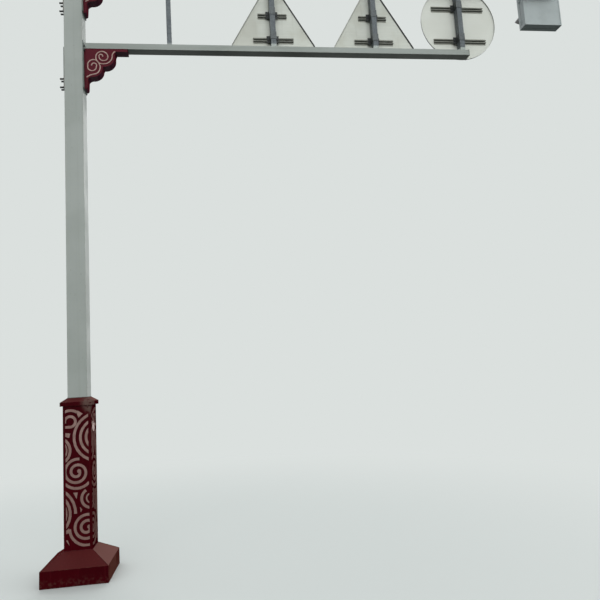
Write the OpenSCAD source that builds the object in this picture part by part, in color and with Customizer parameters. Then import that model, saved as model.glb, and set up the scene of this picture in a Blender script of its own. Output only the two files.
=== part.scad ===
// Cantilever sign gantry: a square pole on a scrolled pedestal, two arms that carry three
// sign backs, and a signal head on the longer arm. Lengths are millimetres, angles degrees.
// The origin is the middle of the base plate's underside, +Z is up and +X runs along the
// arms. The signs and the lamps face +Y.

/* [Pole] */
// Side of the square pole
pole_side = 200; // [198:1:220]
// Wall of the pole tube
pole_wall = 8; // [5:1:9]
// Height of the pole above the upper arm
pole_rise = 160; // [140:5:600]
// How far the pole's cap stands past each side
pole_cap_lip = 8; // [3:1:20]
// Thickness of the pole cap's edge
pole_cap_edge = 10; // [5:1:20]
// Height of the pole cap's pyramid
pole_cap_peak = 55; // [30:5:100]

/* [Base plate] */
// Side of the square base plate
base_side = 420; // [380:5:480]
// Thickness of the base plate
base_thickness = 20; // [12:1:30]
// Distance between anchor holes
anchor_pitch = 330; // [300:5:350]
// Diameter of the anchor holes
anchor_hole = 28; // [22:1:34]

/* [Plinth and column] */
// Side of the square plinth
plinth_side = 660; // [560:5:760]
// Height of the plinth's upright sides
plinth_height = 165; // [100:5:250]
// Height of the sloping hip above them
hip_height = 127; // [80:1:200]
// Thickness of the plinth's sheet
plinth_sheet = 5; // [3:1:8]
// Side of the square column
column_side = 282; // [264:1:300]
// Height of the column from the hip to the cap
column_height = 1463; // [1200:1:1800]
// Thickness of the column's sheet
column_sheet = 4; // [3:1:6]
// How far the column's cap stands past each side
cap_lip = 24; // [10:1:50]
// Thickness of the column cap's edge
cap_edge = 40; // [20:1:60]
// Height of the column cap's slope
cap_slope = 42; // [20:1:80]
// Thickness of the column cap's sheet
cap_sheet = 4; // [3:1:6]

/* [Column scrollwork] */
// Thickness of the raised bands
band_thickness = 4; // [3:1:10]
// Width of the raised bands
band_width = 28; // [22:1:32]
// Width of the thin bands beside them
thin_band_width = 16; // [10:1:20]
// Plain margin left and right of the bands
band_side_margin = 25; // [15:1:35]
// Plain margin above and below the bands
band_end_margin = 34; // [20:1:60]

/* [Arms] */
// Height of the lower arm's underside above the ground
arm_clearance = 5830; // [4500:10:6500]
// Distance from the lower arm to the upper arm
arm_spacing = 940; // [900:5:1100]
// Height of the arm tube
arm_height = 70; // [60:1:90]
// Depth of the arm tube
arm_depth = 120; // [100:2:122]
// Wall of the arm tube
arm_wall = 5; // [3:1:8]
// How far the lower arm's end is from the pole's middle
lower_reach = 4820; // [4600:10:5300]
// How far the upper arm's end is from the pole's middle
upper_reach = 6130; // [5600:10:6600]
// Thickness of the arms' end plates
end_plate = 6; // [3:1:10]
// How far an end plate stands past the tube
end_plate_lip = 4; // [1:1:8]

/* [Arm fixings] */
// Thickness of the flange at an arm's root
flange_thickness = 12; // [8:1:20]
// How far the flange reaches above an arm's underside
flange_rise = 85; // [80:5:150]
// How far the flange reaches below an arm's underside
flange_drop = 494; // [492:1:620]
// Thickness of the plate behind the pole
back_plate = 8; // [5:1:12]
// Height of the plate behind the pole
back_plate_height = 486; // [450:1:520]
// Diameter of the studs through the pole
stud = 20; // [16:1:24]
// Diameter of the bolts at the flange's top
top_bolt = 16; // [12:1:18]
// Distance between the studs across the pole
stud_pitch_y = 60; // [50:1:70]
// Distance between the rows of studs
stud_pitch_z = 102; // [80:1:120]
// Depth of the lower row of studs under the arm
stud_drop = 464; // [420:1:470]
// How far a stud sticks out behind the back plate
stud_tail = 55; // [30:1:70]
// Play round a bolt in its hole
bolt_play = 1; // [0.5:0.1:1.5]
// Distance of the top bolts from the pole's side faces
top_bolt_inset = 24; // [23.5:0.1:24.5]
// Distance between the two top bolts on one side
top_bolt_pitch = 52; // [44:1:64]

/* [Corner brackets] */
// How far a bracket reaches along the arm
bracket_reach = 488; // [400:2:560]
// How far a bracket reaches down the flange
bracket_drop = 492; // [460:1:492]
// Thickness of a bracket
bracket_depth = 116; // [60:2:118]
// Thickness of the bracket's plates
bracket_plate = 5; // [3:1:8]
// Width of the scroll line on a bracket
scroll_width = 12; // [8:1:14]
// How far the scroll line stands out
scroll_relief = 4; // [2:1:8]

/* [Posts] */
// Distance of the tie post from the pole's middle
tie_post_x = 1083; // [700:1:1500]
// Side of the square tie post
tie_post_side = 55; // [40:1:80]
// Width of a sign post
post_width = 63; // [50:1:76]
// Depth of a sign post
post_depth = 100; // [80:2:110]
// Wall of the posts
post_wall = 4; // [3:1:6]

/* [Signs] */
// Distance of the round sign's middle from the lower arm's end
round_sign_inset = 55; // [40:1:120]
// Distance from the second sign's middle to the round sign's
second_sign_step = 1147; // [1120:1:1250]
// Distance from the first sign's middle to the second sign's
first_sign_step = 1278; // [1160:1:1300]
// Side of a triangular sign
triangle_side = 1100; // [1040:5:1150]
// Corner radius of a triangular sign
triangle_corner = 45; // [30:1:70]
// Height of a triangle's lower edge over the lower arm's underside
triangle_lift = 96; // [80:1:140]
// Diameter of the round sign
disc_diameter = 1000; // [940:5:1040]
// Height of the round sign's middle over the lower arm's underside
disc_lift = 506; // [480:1:540]
// Thickness of the sign plates
sign_plate = 3; // [2:1:4]
// Depth of the rim turned back round a sign
rim_depth = 15; // [8:1:18]
// Thickness of that rim
rim_thickness = 3; // [2:1:4]
// Distance of a triangle's post from the triangle's middle, towards the pole
triangle_post_shift = 10; // [0:1:30]
// Distance of the round sign's post from the sign's middle, towards the pole
disc_post_shift = 21; // [0:1:40]

/* [Sign rails and clamps] */
// Height of a rail's flange
rail_height = 80; // [66:1:92]
// Depth of a rail
rail_depth = 26; // [20:1:36]
// Height of the open channel that stands on the flange
rail_channel = 42; // [36:1:56]
// Wall of a rail
rail_wall = 3; // [2:0.5:4]
// Height of each lip beside a rail's slot
rail_lip = 12; // [8:1:16]
// Length of a triangle's lower rail
long_rail = 500; // [420:5:560]
// Length of a triangle's upper rail
short_rail = 360; // [300:5:380]
// Length of the round sign's rails
disc_rail = 700; // [600:5:720]
// Height of a triangle's lower rail over the lower arm's underside
low_rail_lift = 219; // [200:1:260]
// Height of a triangle's upper rail over the lower arm's underside
high_rail_lift = 540; // [500:1:580]
// Height of the round sign's lower rail over the lower arm's underside
disc_low_rail_lift = 253; // [220:1:280]
// Height of the round sign's upper rail over the lower arm's underside
disc_high_rail_lift = 699; // [650:1:740]
// Height of a clamp
clamp_height = 90; // [70:1:100]
// Thickness of a clamp's strap
clamp_strap = 5; // [3:1:8]
// Width of a clamp's ear
clamp_ear = 38; // [30:1:50]
// Diameter of the clamp bolts
clamp_bolt = 12; // [8:1:14]

/* [Signal head] */
// Distance of the head's middle from the upper arm's end
head_inset = 146; // [60:1:250]
// Width of the head
head_width = 520; // [470:2:540]
// Height of the head
head_height = 1420; // [1400:5:1480]
// Depth of the housing behind the door
housing_depth = 92; // [70:1:120]
// Depth of the lamp doors
door_depth = 58; // [40:1:70]
// Gap between two doors
door_gap = 4; // [2:0.5:8]
// Wall of the housing and the door
head_wall = 3; // [2:0.5:5]
// Width of the rim round the housing's back
head_rim = 14; // [8:1:20]
// Depth of the sunk panel inside that rim
head_recess = 4; // [2:1:6]
// Width of the groove for the seal behind the doors
seal_width = 6; // [3:1:10]
// Depth of that groove
seal_depth = 1.5; // [0.5:0.5:1.5]
// How far the head hangs below the upper arm's underside
head_drop = 400; // [380:1:440]
// Gap between the upper arm and the head's rim
head_gap = 40; // [30:1:60]
// Number of lamps
lamps = 3; // [3:1:3]
// Diameter of a lamp's opening
lamp_opening = 300; // [260:5:360]
// Thickness of a lens
lens_thickness = 6; // [4:1:8]
// How far a lens's flange reaches past its opening
lens_flange = 8; // [5:1:12]
// Play round a lens
lens_play = 0.3; // [0.1:0.1:0.3]
// How far a hood stands out at its top
hood_reach = 400; // [250:5:420]
// How far a hood stands out at its lowest point
hood_foot = 20; // [10:5:60]
// Thickness of a hood
hood_wall = 3; // [2:0.5:4]
// Gap between a lamp's opening and its hood
hood_gap = 8; // [4:1:14]
// Width of the head's saddle along the arm
saddle_width = 80; // [60:2:120]
// Height of the head's saddle
saddle_height = 130; // [110:2:160]
// Thickness of the strap round the arm
saddle_strap = 6; // [4:1:10]

/* [Hidden] */
$fn = 96;

// Colours
white_paint = [0.86, 0.88, 0.86];
red_paint = [0.42, 0.06, 0.10];
scroll_paint = [0.82, 0.68, 0.64];
zinc = [0.52, 0.55, 0.58];
bare_sheet = [0.76, 0.77, 0.74];
dark_steel = [0.22, 0.23, 0.24];
head_grey = [0.62, 0.65, 0.64];
hood_black = [0.06, 0.06, 0.07];
lens_red = [0.42, 0.05, 0.05];
lens_amber = [0.55, 0.36, 0.06];
lens_green = [0.05, 0.30, 0.22];

// A small overlap that lets a cut pass its face
cut = 1;

// Heights
hip_top = plinth_height + hip_height;
column_top = hip_top + column_height;
lower_arm_z = arm_clearance;
upper_arm_z = arm_clearance + arm_spacing;
lower_arm_top = lower_arm_z + arm_height;
pole_top = upper_arm_z + arm_height + pole_rise;

// Faces of the pole and the flange
pole_face = pole_side / 2;
flange_face = pole_face + flange_thickness;

// Clearance round the pole where it passes the column's cap
cap_play = 0.3;

// Fixings
nut_to_bolt = [1.73, 0.8];
top_bolt_y = pole_face - top_bolt_inset;

// Depths of what the posts carry, from the post's middle
post_back = post_depth / 2;
rail_back = post_back + rail_depth;

// Places along the arms
round_sign_x = lower_reach - round_sign_inset;
second_sign_x = round_sign_x - second_sign_step;
first_sign_x = second_sign_x - first_sign_step;
first_post_x = first_sign_x - triangle_post_shift;
second_post_x = second_sign_x - triangle_post_shift;
round_post_x = round_sign_x - disc_post_shift;
head_x = upper_reach - head_inset;

// Signal head
head_back = arm_depth / 2 + head_gap;
door_back = head_back + housing_depth;
door_front = door_back + door_depth;
head_bottom = upper_arm_z - head_drop;
lamp_pitch = head_height / lamps;
hood_radius = lamp_opening / 2 + hood_gap;

// Most degrees that one chord of a band turns
chord_angle = 12;

// A square tube of side by depth, standing on z = 0
module square_tube(side, depth, wall, height) {
    translate([0, 0, height / 2])
        difference() {
            cube([side, depth, height], center = true);
            cube([side - 2 * wall, depth - 2 * wall, height + 2 * cut], center = true);
        }
}

// A square frustum that narrows from one side length to another
module frustum(low_side, high_side, height) {
    rotate([0, 0, 45])
        cylinder(h = height, d1 = low_side * sqrt(2), d2 = high_side * sqrt(2), $fn = 4);
}

// A square block, centred in plan, from one height to another
module block(side, from, to) {
    translate([0, 0, (from + to) / 2])
        cube([side, side, to - from], center = true);
}

// Centre of the circle through three points
function centre3(a, b, c) =
    let (
        turn = 2 * (a.x * (b.y - c.y) + b.x * (c.y - a.y) + c.x * (a.y - b.y)),
        qa = a * a, qb = b * b, qc = c * c
    )
    [
        (qa * (b.y - c.y) + qb * (c.y - a.y) + qc * (a.y - b.y)) / turn,
        (qa * (c.x - b.x) + qb * (a.x - c.x) + qc * (b.x - a.x)) / turn
    ];

function bearing(from, to) = atan2(to.y - from.y, to.x - from.x);

function whole_turn(angle) = angle < 0 ? angle + 360 : angle;

// Points of the arc from a through b to c, without its first point
function arc3(a, b, c) =
    let (
        m = centre3(a, b, c),
        r = norm(a - m),
        start = bearing(m, a),
        to_b = whole_turn(bearing(m, b) - start),
        to_c = whole_turn(bearing(m, c) - start),
        sweep = to_b < to_c ? to_c : to_c - 360,
        steps = ceil(abs(sweep) / chord_angle)
    )
    [for (i = [1 : steps]) m + r * [cos(start + sweep * i / steps), sin(start + sweep * i / steps)]];

// A line through a chain of arcs: every second point is the middle of an arc
function chain(p) = concat(
    [p[0]],
    [for (i = [0 : 2 : len(p) - 3]) each arc3(p[i], p[i + 1], p[i + 2])]
);

// Unit direction of a line at one of its points
function heading(line, i) =
    let (
        a = line[max(i - 1, 0)],
        b = line[min(i + 1, len(line) - 1)]
    )
    (b - a) / norm(b - a);

// A flat band of one width that follows a line
module band(line, width) {
    side = [for (i = [0 : len(line) - 1]) let (h = heading(line, i)) [-h.y, h.x] * width / 2];
    left = [for (i = [0 : len(line) - 1]) line[i] + side[i]];
    right = [for (i = [len(line) - 1 : -1 : 0]) line[i] - side[i]];
    polygon(concat(left, right));
}

// The pole and its base

module base_plate() {
    color(dark_steel)
        difference() {
            block(base_side, 0, base_thickness);
            for (x = [-1, 1], y = [-1, 1])
                translate([x * anchor_pitch / 2, y * anchor_pitch / 2, -cut])
                    cylinder(d = anchor_hole, h = base_thickness + 2 * cut);
        }
}

// Holes for the studs and top bolts of one arm, along X
module fixing_holes(z) {
    for (y = [-1, 1], row = [0, 1])
        translate([0, y * stud_pitch_y / 2, z - stud_drop + row * stud_pitch_z])
            rotate([0, 90, 0])
                cylinder(d = stud + 2 * bolt_play, h = 2 * pole_side, center = true);
    for (y = [-1, 1], row = [-1, 1])
        translate([0, y * top_bolt_y, z + row * top_bolt_pitch / 2])
            rotate([0, 90, 0])
                cylinder(d = top_bolt + 2 * bolt_play, h = pole_side);
}

module pole() {
    color(white_paint)
        difference() {
            translate([0, 0, base_thickness])
                square_tube(pole_side, pole_side, pole_wall, pole_top - base_thickness);
            fixing_holes(lower_arm_z);
            fixing_holes(upper_arm_z);
        }
}

module pole_cap() {
    side = pole_side + 2 * pole_cap_lip;
    color(white_paint)
        translate([0, 0, pole_top])
            union() {
                block(side, 0, pole_cap_edge);
                translate([0, 0, pole_cap_edge])
                    frustum(side, side / 20, pole_cap_peak);
            }
}

// The plinth, the column and its cap

module plinth_box() {
    color(red_paint)
        square_tube(plinth_side, plinth_side, plinth_sheet, plinth_height);
}

module plinth_hip() {
    inner_low = plinth_side - 2 * plinth_sheet;
    inner_high = column_side - 2 * plinth_sheet;
    color(red_paint)
        translate([0, 0, plinth_height])
            difference() {
                frustum(plinth_side, column_side, hip_height);
                translate([0, 0, -cut])
                    frustum(inner_low, inner_low, cut);
                frustum(inner_low, inner_high, hip_height);
                translate([0, 0, hip_height])
                    block(inner_high, -cut / 10, cut);
            }
}

module pedestal_column() {
    color(red_paint)
        translate([0, 0, hip_top])
            square_tube(column_side, column_side, column_sheet, column_height);
}

module pedestal_cap() {
    side = column_side + 2 * cap_lip;
    foot = pole_side + 2 * cap_play;
    hollow_side = side - 2 * cap_sheet;
    color(red_paint)
        translate([0, 0, column_top])
            difference() {
                union() {
                    block(side, 0, cap_edge);
                    translate([0, 0, cap_edge])
                        frustum(side, foot + 2 * cap_sheet, cap_slope);
                }
                block(hollow_side, cap_sheet, cap_edge - cap_sheet);
                block(column_side - 2 * column_sheet, -cut, cap_sheet + cut);
                block(foot, -cut, cap_edge + cap_slope + cut);
            }
}

// The scrolled bands on one side of the column: curls and arcs round a few middles. They
// are drawn on a panel 200 wide and 1000 high with its foot in the middle of its lower edge.
// Radii are in the unit of the width.

panel_half = column_side / 2 - band_side_margin;
panel_height = column_height - 2 * band_end_margin;
panel_unit = panel_half / 100;

function on_panel(p) = [p.x * panel_unit, p.y * panel_height / 1000];

hook = [-58, 907];
fan = [190, 786];
leaf = [-182, 696];
whorl = [-3, 534];
wave = [-258, 240];
petal = [118, 341];
foot_whorl = [78, 129];

// Middle, radius, first and last angle
wide_arcs = [
    [hook, 47, -90, 196], [hook, 101, 53, 120],
    [fan, 215, 90, 270], [fan, 160, 90, 270], [fan, 111, 90, 270],
    [leaf, 122, -90, 90],
    [whorl, 141, 200, 318],
    [wave, 240, -1, 90], [wave, 194, -90, 90],
    [petal, 83, 122, 270],
    [foot_whorl, 148, 180, 300]
];
thin_arcs = [[leaf, 94, -90, 90], [wave, 164, -90, 90], [petal, 41, 90, 270]];

// A curl winds out clockwise: its radius where it first points left, its growth in a turn,
// and where it starts and ends, in degrees of turn from there
curls = [whorl, foot_whorl];
curl_radius = 50.5;
curl_growth = 52;
curl_turn = [-205, 461];

// Small leaves that fill the corners between the bands
fillers = [
    [[8, 988], [54, 962], [34, 946], [16, 934], [2, 964]],
    [[-106, 828], [-57, 820], [-66, 788], [-106, 800]],
    [[-38, 388], [2, 388], [-8, 340]],
    [[18, 284], [40, 262], [26, 243]],
    [[-106, 95], [-106, 120], [-74, 137], [-72, 103]],
    [[-106, 55], [-86, 53], [-72, 12]]
];

// Points of an arc, in equal chords
function arc(middle, radius, from, to) =
    let (steps = ceil((to - from) / chord_angle))
    [for (i = [0 : steps]) let (a = from + (to - from) * i / steps) middle + radius * [cos(a), sin(a)]];

function curl(middle) =
    let (steps = ceil((curl_turn[1] - curl_turn[0]) / chord_angle))
    [
        for (i = [0 : steps])
            let (turn = curl_turn[0] + (curl_turn[1] - curl_turn[0]) * i / steps)
            middle + (curl_radius + curl_growth * turn / 360) * panel_unit * [cos(180 - turn), sin(180 - turn)]
    ];

// One panel, drawn with its foot on y = 0
module scroll_panel_flat() {
    hook_foot = on_panel(hook) - [0, 47 * panel_unit];
    intersection() {
        translate([-panel_half, 0])
            square([2 * panel_half, panel_height]);
        union() {
            for (a = wide_arcs)
                band(arc(on_panel(a[0]), a[1] * panel_unit, a[2], a[3]), band_width);
            for (a = thin_arcs)
                band(arc(on_panel(a[0]), a[1] * panel_unit, a[2], a[3]), thin_band_width);
            band([hook_foot, [-panel_half - cut, hook_foot.y]], band_width);
            for (middle = curls) {
                line = curl(on_panel(middle));
                band(line, band_width);
                translate(line[0])
                    circle(r = 0.75 * band_width, $fn = 12);
            }
            for (p = fillers)
                polygon([for (q = p) on_panel(q)]);
        }
    }
}

// The panel on one face of the column; flip 1 keeps the curl's hand, -1 mirrors it
module scroll_panel(side_angle, flip) {
    color(scroll_paint)
        rotate([0, 0, side_angle])
            translate([0, -column_side / 2, hip_top + band_end_margin])
                rotate([90, 0, 0])
                    linear_extrude(height = band_thickness)
                        scale([flip, 1])
                            scroll_panel_flat();
}

module scrollwork_front() {
    scroll_panel(0, 1);
}

module scrollwork_right() {
    scroll_panel(90, -1);
}

module scrollwork_back() {
    scroll_panel(180, 1);
}

module scrollwork_left() {
    scroll_panel(270, -1);
}

// An arm and what fixes it to the pole

module arm(reach, z) {
    length = reach - end_plate - flange_face;
    color(white_paint)
        translate([flange_face + length / 2, 0, z + arm_height / 2])
            difference() {
                cube([length, arm_depth, arm_height], center = true);
                cube([
                    length + 2 * cut, arm_depth - 2 * arm_wall, arm_height - 2 * arm_wall
                ], center = true);
            }
}

module arm_end(reach, z) {
    color(white_paint)
        translate([reach - end_plate / 2, 0, z + arm_height / 2])
            cube([end_plate, arm_depth + 2 * end_plate_lip, arm_height + 2 * end_plate_lip],
                center = true);
}

module flange(z) {
    color(white_paint)
        difference() {
            translate([pole_face, -pole_side / 2, z - flange_drop])
                cube([flange_thickness, pole_side, flange_drop + flange_rise]);
            for (y = [-1, 1], row = [-1, 1])
                translate([pole_face - cut, y * top_bolt_y, z + row * top_bolt_pitch / 2])
                    rotate([0, 90, 0])
                        cylinder(d = top_bolt + 2 * bolt_play, h = flange_thickness + 2 * cut);
        }
}

module back_plate_piece(z) {
    color(white_paint)
        difference() {
            translate([-pole_face - back_plate, -pole_side / 2, z - flange_drop])
                cube([back_plate, pole_side, back_plate_height]);
            fixing_holes(z);
        }
}

// A hexagonal nut along X, from the origin on
module hex_nut(bolt) {
    rotate([0, 90, 0])
        cylinder(d = nut_to_bolt[0] * bolt, h = nut_to_bolt[1] * bolt, $fn = 6);
}

// Studs from the flange through the pole, with nuts on the back plate, and the top bolts
module studs(z) {
    reach_back = pole_face + back_plate + stud_tail;
    top_nut = nut_to_bolt[1] * top_bolt;
    color(dark_steel) {
        for (y = [-1, 1], row = [0, 1])
            translate([0, y * stud_pitch_y / 2, z - stud_drop + row * stud_pitch_z])
                union() {
                    translate([-reach_back, 0, 0])
                        rotate([0, 90, 0])
                            cylinder(d = stud, h = reach_back + pole_face);
                    translate([-pole_face - back_plate - nut_to_bolt[1] * stud, 0, 0])
                        hex_nut(stud);
                }
        for (y = [-1, 1], row = [-1, 1])
            translate([0, y * top_bolt_y, z + row * top_bolt_pitch / 2])
                union() {
                    translate([pole_face - pole_wall - top_nut, 0, 0]) {
                        hex_nut(top_bolt);
                        rotate([0, 90, 0])
                            cylinder(d = top_bolt, h = flange_thickness + pole_wall + 2 * top_nut);
                    }
                    translate([flange_face, 0, 0])
                        hex_nut(top_bolt);
                }
    }
}

// The corner bracket. Points are percent of its reach and of its drop.

function bracket_points(p) = [for (q = p) [q.x * bracket_reach / 100, -q.y * bracket_drop / 100]];

// Lower edge of the bracket from its tip to its tail: two lobes and a toe
bracket_edge = [
    [100, 6.8], [86, 6.5], [73, 6.9], [70.8, 11.5], [70, 19], [63.5, 37.2], [44.3, 44.8],
    [42.8, 46.6], [42, 48.4], [35, 63.8], [20, 70.4], [13, 71.4], [7.6, 76.5], [6.9, 86],
    [6.7, 96], [4.5, 99.5], [0, 100]
];

bracket_curls = [
    [[42.6, 19.9], [39.5, 14.4], [34.3, 20.3], [42.6, 29.8], [54.6, 18.9], [41.2, 6.8],
        [26.9, 21.9], [32.5, 34.5], [45.7, 37.7], [58.5, 32.3], [64.5, 18.4], [66.4, 11.1],
        [71.5, 6.6]],
    [[16.8, 42.6], [22.1, 36.2], [27.6, 44.7], [18.2, 55.5], [8.3, 42.6], [17.4, 28.1],
        [32.5, 34.5], [36.4, 48], [27, 62.8], [16.9, 65], [5, 71.4]]
];

module bracket_outline() {
    polygon(concat([[0, 0], [bracket_reach, 0]], chain(bracket_points(bracket_edge))));
}

// The space inside the bracket's plates
module bracket_hollow() {
    edge = chain(bracket_points(bracket_edge));
    inside = [for (i = [0 : len(edge) - 1]) let (h = heading(edge, i)) edge[i] + [h.y, -h.x] * bracket_plate];
    intersection() {
        polygon(concat([[0, 0], [bracket_reach, 0]], inside));
        translate([bracket_plate, bracket_plate - bracket_drop])
            square([bracket_reach - 2 * bracket_plate, bracket_drop - 2 * bracket_plate]);
    }
}

// Turns a drawing in the x-y plane to stand at an arm's root, with its face towards -Y
module at_arm_root(z, depth) {
    translate([flange_face, depth, z])
        rotate([90, 0, 0])
            children();
}

module bracket(z) {
    color(red_paint)
        difference() {
            at_arm_root(z, bracket_depth / 2)
                linear_extrude(height = bracket_depth)
                    bracket_outline();
            at_arm_root(z, bracket_depth / 2 - bracket_plate)
                linear_extrude(height = bracket_depth - 2 * bracket_plate)
                    bracket_hollow();
        }
}

module bracket_scrolls(z) {
    color(scroll_paint)
        for (front = [0, 1])
            at_arm_root(z, front == 1 ? -bracket_depth / 2 : bracket_depth / 2 + scroll_relief)
                linear_extrude(height = scroll_relief)
                    for (p = bracket_curls)
                        band(chain(bracket_points(p)), scroll_width);
}

// The posts between the arms

module tie_post() {
    color(zinc)
        translate([tie_post_x, 0, lower_arm_top])
            square_tube(tie_post_side, tie_post_side, post_wall, upper_arm_z - lower_arm_top);
}

module sign_post(x) {
    color(zinc)
        translate([x, 0, lower_arm_top])
            square_tube(post_width, post_depth, post_wall, upper_arm_z - lower_arm_top);
}

// The signs: a flat plate with a rim turned back round it

// A triangle with round corners, its lower edge on y = 0; inset shrinks it evenly
module rounded_triangle(inset) {
    r = triangle_corner;
    core = triangle_side - 2 * r * sqrt(3);
    corners = [[-core / 2, r], [core / 2, r], [0, r + core * sqrt(3) / 2]];
    polygon([
        for (i = [0 : 2], turn = [0 : chord_angle : 120])
            corners[i] + (r - inset) * [cos(150 + 120 * i + turn), sin(150 + 120 * i + turn)]
    ]);
}

// Stands a drawing on the sign plane, facing +Y, and gives it depth towards the posts
module on_sign_plane(x, lift, depth, out) {
    translate([x, rail_back + out, lower_arm_z + lift])
        rotate([90, 0, 0])
            linear_extrude(height = depth)
                children();
}

module triangle_sign(x) {
    color(bare_sheet)
        union() {
            on_sign_plane(x, triangle_lift, sign_plate, sign_plate)
                rounded_triangle(0);
            on_sign_plane(x, triangle_lift, rim_depth, 0)
                difference() {
                    rounded_triangle(0);
                    rounded_triangle(rim_thickness);
                }
        }
}

module disc_sign() {
    color(bare_sheet)
        union() {
            on_sign_plane(round_sign_x, disc_lift, sign_plate, sign_plate)
                circle(d = disc_diameter);
            on_sign_plane(round_sign_x, disc_lift, rim_depth, 0)
                difference() {
                    circle(d = disc_diameter);
                    circle(d = disc_diameter - 2 * rim_thickness);
                }
        }
}

// A rail along X: a flange on the sign, with a channel that is open towards the post
module rail(x, lift, length) {
    h = rail_height / 2;
    c = rail_channel / 2;
    color(zinc)
        translate([x - length / 2, post_back, lower_arm_z + lift])
            rotate([90, 0, 90])
                linear_extrude(height = length)
                    difference() {
                        union() {
                            translate([rail_depth - rail_wall, -h])
                                square([rail_wall, rail_height]);
                            translate([0, -c])
                                square([rail_depth, rail_channel]);
                        }
                        translate([rail_wall, rail_wall - c])
                            square([rail_depth - 2 * rail_wall, rail_channel - 2 * rail_wall]);
                        translate([-cut, rail_lip - c])
                            square([rail_wall + 2 * cut, rail_channel - 2 * rail_lip]);
                    }
}

// A strap round the post, with an ear bolted to the rail on each side
module clamp(x, lift) {
    inner = post_width / 2;
    outer = inner + clamp_strap;
    ear_end = outer + clamp_ear;
    bolt_x = outer + clamp_ear / 2;
    color(zinc)
        translate([x, 0, lower_arm_z + lift])
            union() {
                translate([0, 0, -clamp_height / 2])
                    linear_extrude(height = clamp_height)
                        polygon([
                            [-ear_end, post_back], [-inner, post_back], [-inner, -post_back],
                            [inner, -post_back], [inner, post_back], [ear_end, post_back],
                            [ear_end, post_back - clamp_strap], [outer, post_back - clamp_strap],
                            [outer, -post_back - clamp_strap], [-outer, -post_back - clamp_strap],
                            [-outer, post_back - clamp_strap], [-ear_end, post_back - clamp_strap]
                        ]);
                for (side = [-1, 1])
                    translate([side * bolt_x, post_back - clamp_strap, 0])
                        rotate([90, 0, 0])
                            cylinder(d = 1.73 * clamp_bolt, h = 0.7 * clamp_bolt, $fn = 6);
            }
}

// The signal head on the upper arm

// Open at the front, with a sunk panel at the back of each lamp
module head_housing() {
    color(head_grey)
        translate([head_x, head_back, head_bottom])
            difference() {
                translate([-head_width / 2, 0, 0])
                    cube([head_width, housing_depth, head_height]);
                for (i = [0 : lamps - 1])
                    translate([-head_width / 2, 0, i * lamp_pitch]) {
                        translate([head_rim, -cut, head_rim])
                            cube([
                                head_width - 2 * head_rim, head_recess + cut,
                                lamp_pitch - 2 * head_rim
                            ]);
                        translate([head_wall, head_recess + head_wall, head_wall])
                            cube([
                                head_width - 2 * head_wall, housing_depth,
                                lamp_pitch - 2 * head_wall
                            ]);
                    }
                seal_groove();
            }
}

// The groove round the front of the housing, in its frame
module seal_groove() {
    translate([0, housing_depth - seal_width / 2, head_height / 2])
        difference() {
            cube([head_width + 2 * cut, seal_width, head_height + 2 * cut], center = true);
            cube([
                head_width - 2 * seal_depth, 2 * seal_width, head_height - 2 * seal_depth
            ], center = true);
        }
}

// Middle of lamp number i, on the door's front
module at_lamp(i) {
    translate([head_x, door_front, head_bottom + (i + 0.5) * lamp_pitch])
        children();
}

module head_doors() {
    height = lamp_pitch - door_gap;
    color(head_grey)
        for (i = [0 : lamps - 1])
            difference() {
                translate([head_x - head_width / 2, door_back, head_bottom + i * lamp_pitch + door_gap / 2])
                    difference() {
                        cube([head_width, door_depth, height]);
                        translate([head_wall, -cut, head_wall])
                            cube([
                                head_width - 2 * head_wall, door_depth - head_wall + cut,
                                height - 2 * head_wall
                            ]);
                    }
                at_lamp(i)
                    rotate([90, 0, 0])
                        cylinder(d = lamp_opening, h = 4 * head_wall, center = true);
            }
}

// Lens number i, with its flange behind the door
module lens(i, tint) {
    color(tint)
        at_lamp(i)
            union() {
                rotate([90, 0, 0])
                    cylinder(d = lamp_opening - 2 * lens_play, h = head_wall + lens_thickness);
                translate([0, -head_wall, 0])
                    rotate([90, 0, 0])
                        cylinder(d = lamp_opening + 2 * lens_flange, h = lens_thickness);
            }
}

// A tunnel over each lamp, cut on a slant from its top to its foot
module head_hoods() {
    outer = hood_radius + hood_wall;
    color(hood_black)
        for (i = [0 : lamps - 1])
            at_lamp(i)
                intersection() {
                    rotate([-90, 0, 0])
                        linear_extrude(height = 1.1 * hood_reach)
                            difference() {
                                circle(r = outer);
                                circle(r = hood_radius);
                            }
                    rotate([90, 0, 90])
                        linear_extrude(height = 4 * outer, center = true)
                            polygon([
                                [-cut, -outer - cut], [hood_foot, -outer - cut], [hood_foot, -outer],
                                [hood_reach, outer], [hood_reach, outer + cut], [-cut, outer + cut]
                            ]);
                }
}

// The saddle between the arm and the head, with its strap round the arm
module head_saddle() {
    depth = head_gap;
    loop_depth = arm_depth + 2 * saddle_strap;
    loop_height = arm_height + 2 * saddle_strap;
    color(zinc)
        translate([head_x, 0, upper_arm_z + arm_height / 2])
            difference() {
                union() {
                    translate([0, arm_depth / 2 + depth / 2, 0])
                        cube([saddle_width, depth, saddle_height], center = true);
                    cube([saddle_width / 2, loop_depth, loop_height], center = true);
                }
                cube([2 * saddle_width, arm_depth, arm_height], center = true);
            }
}

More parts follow.
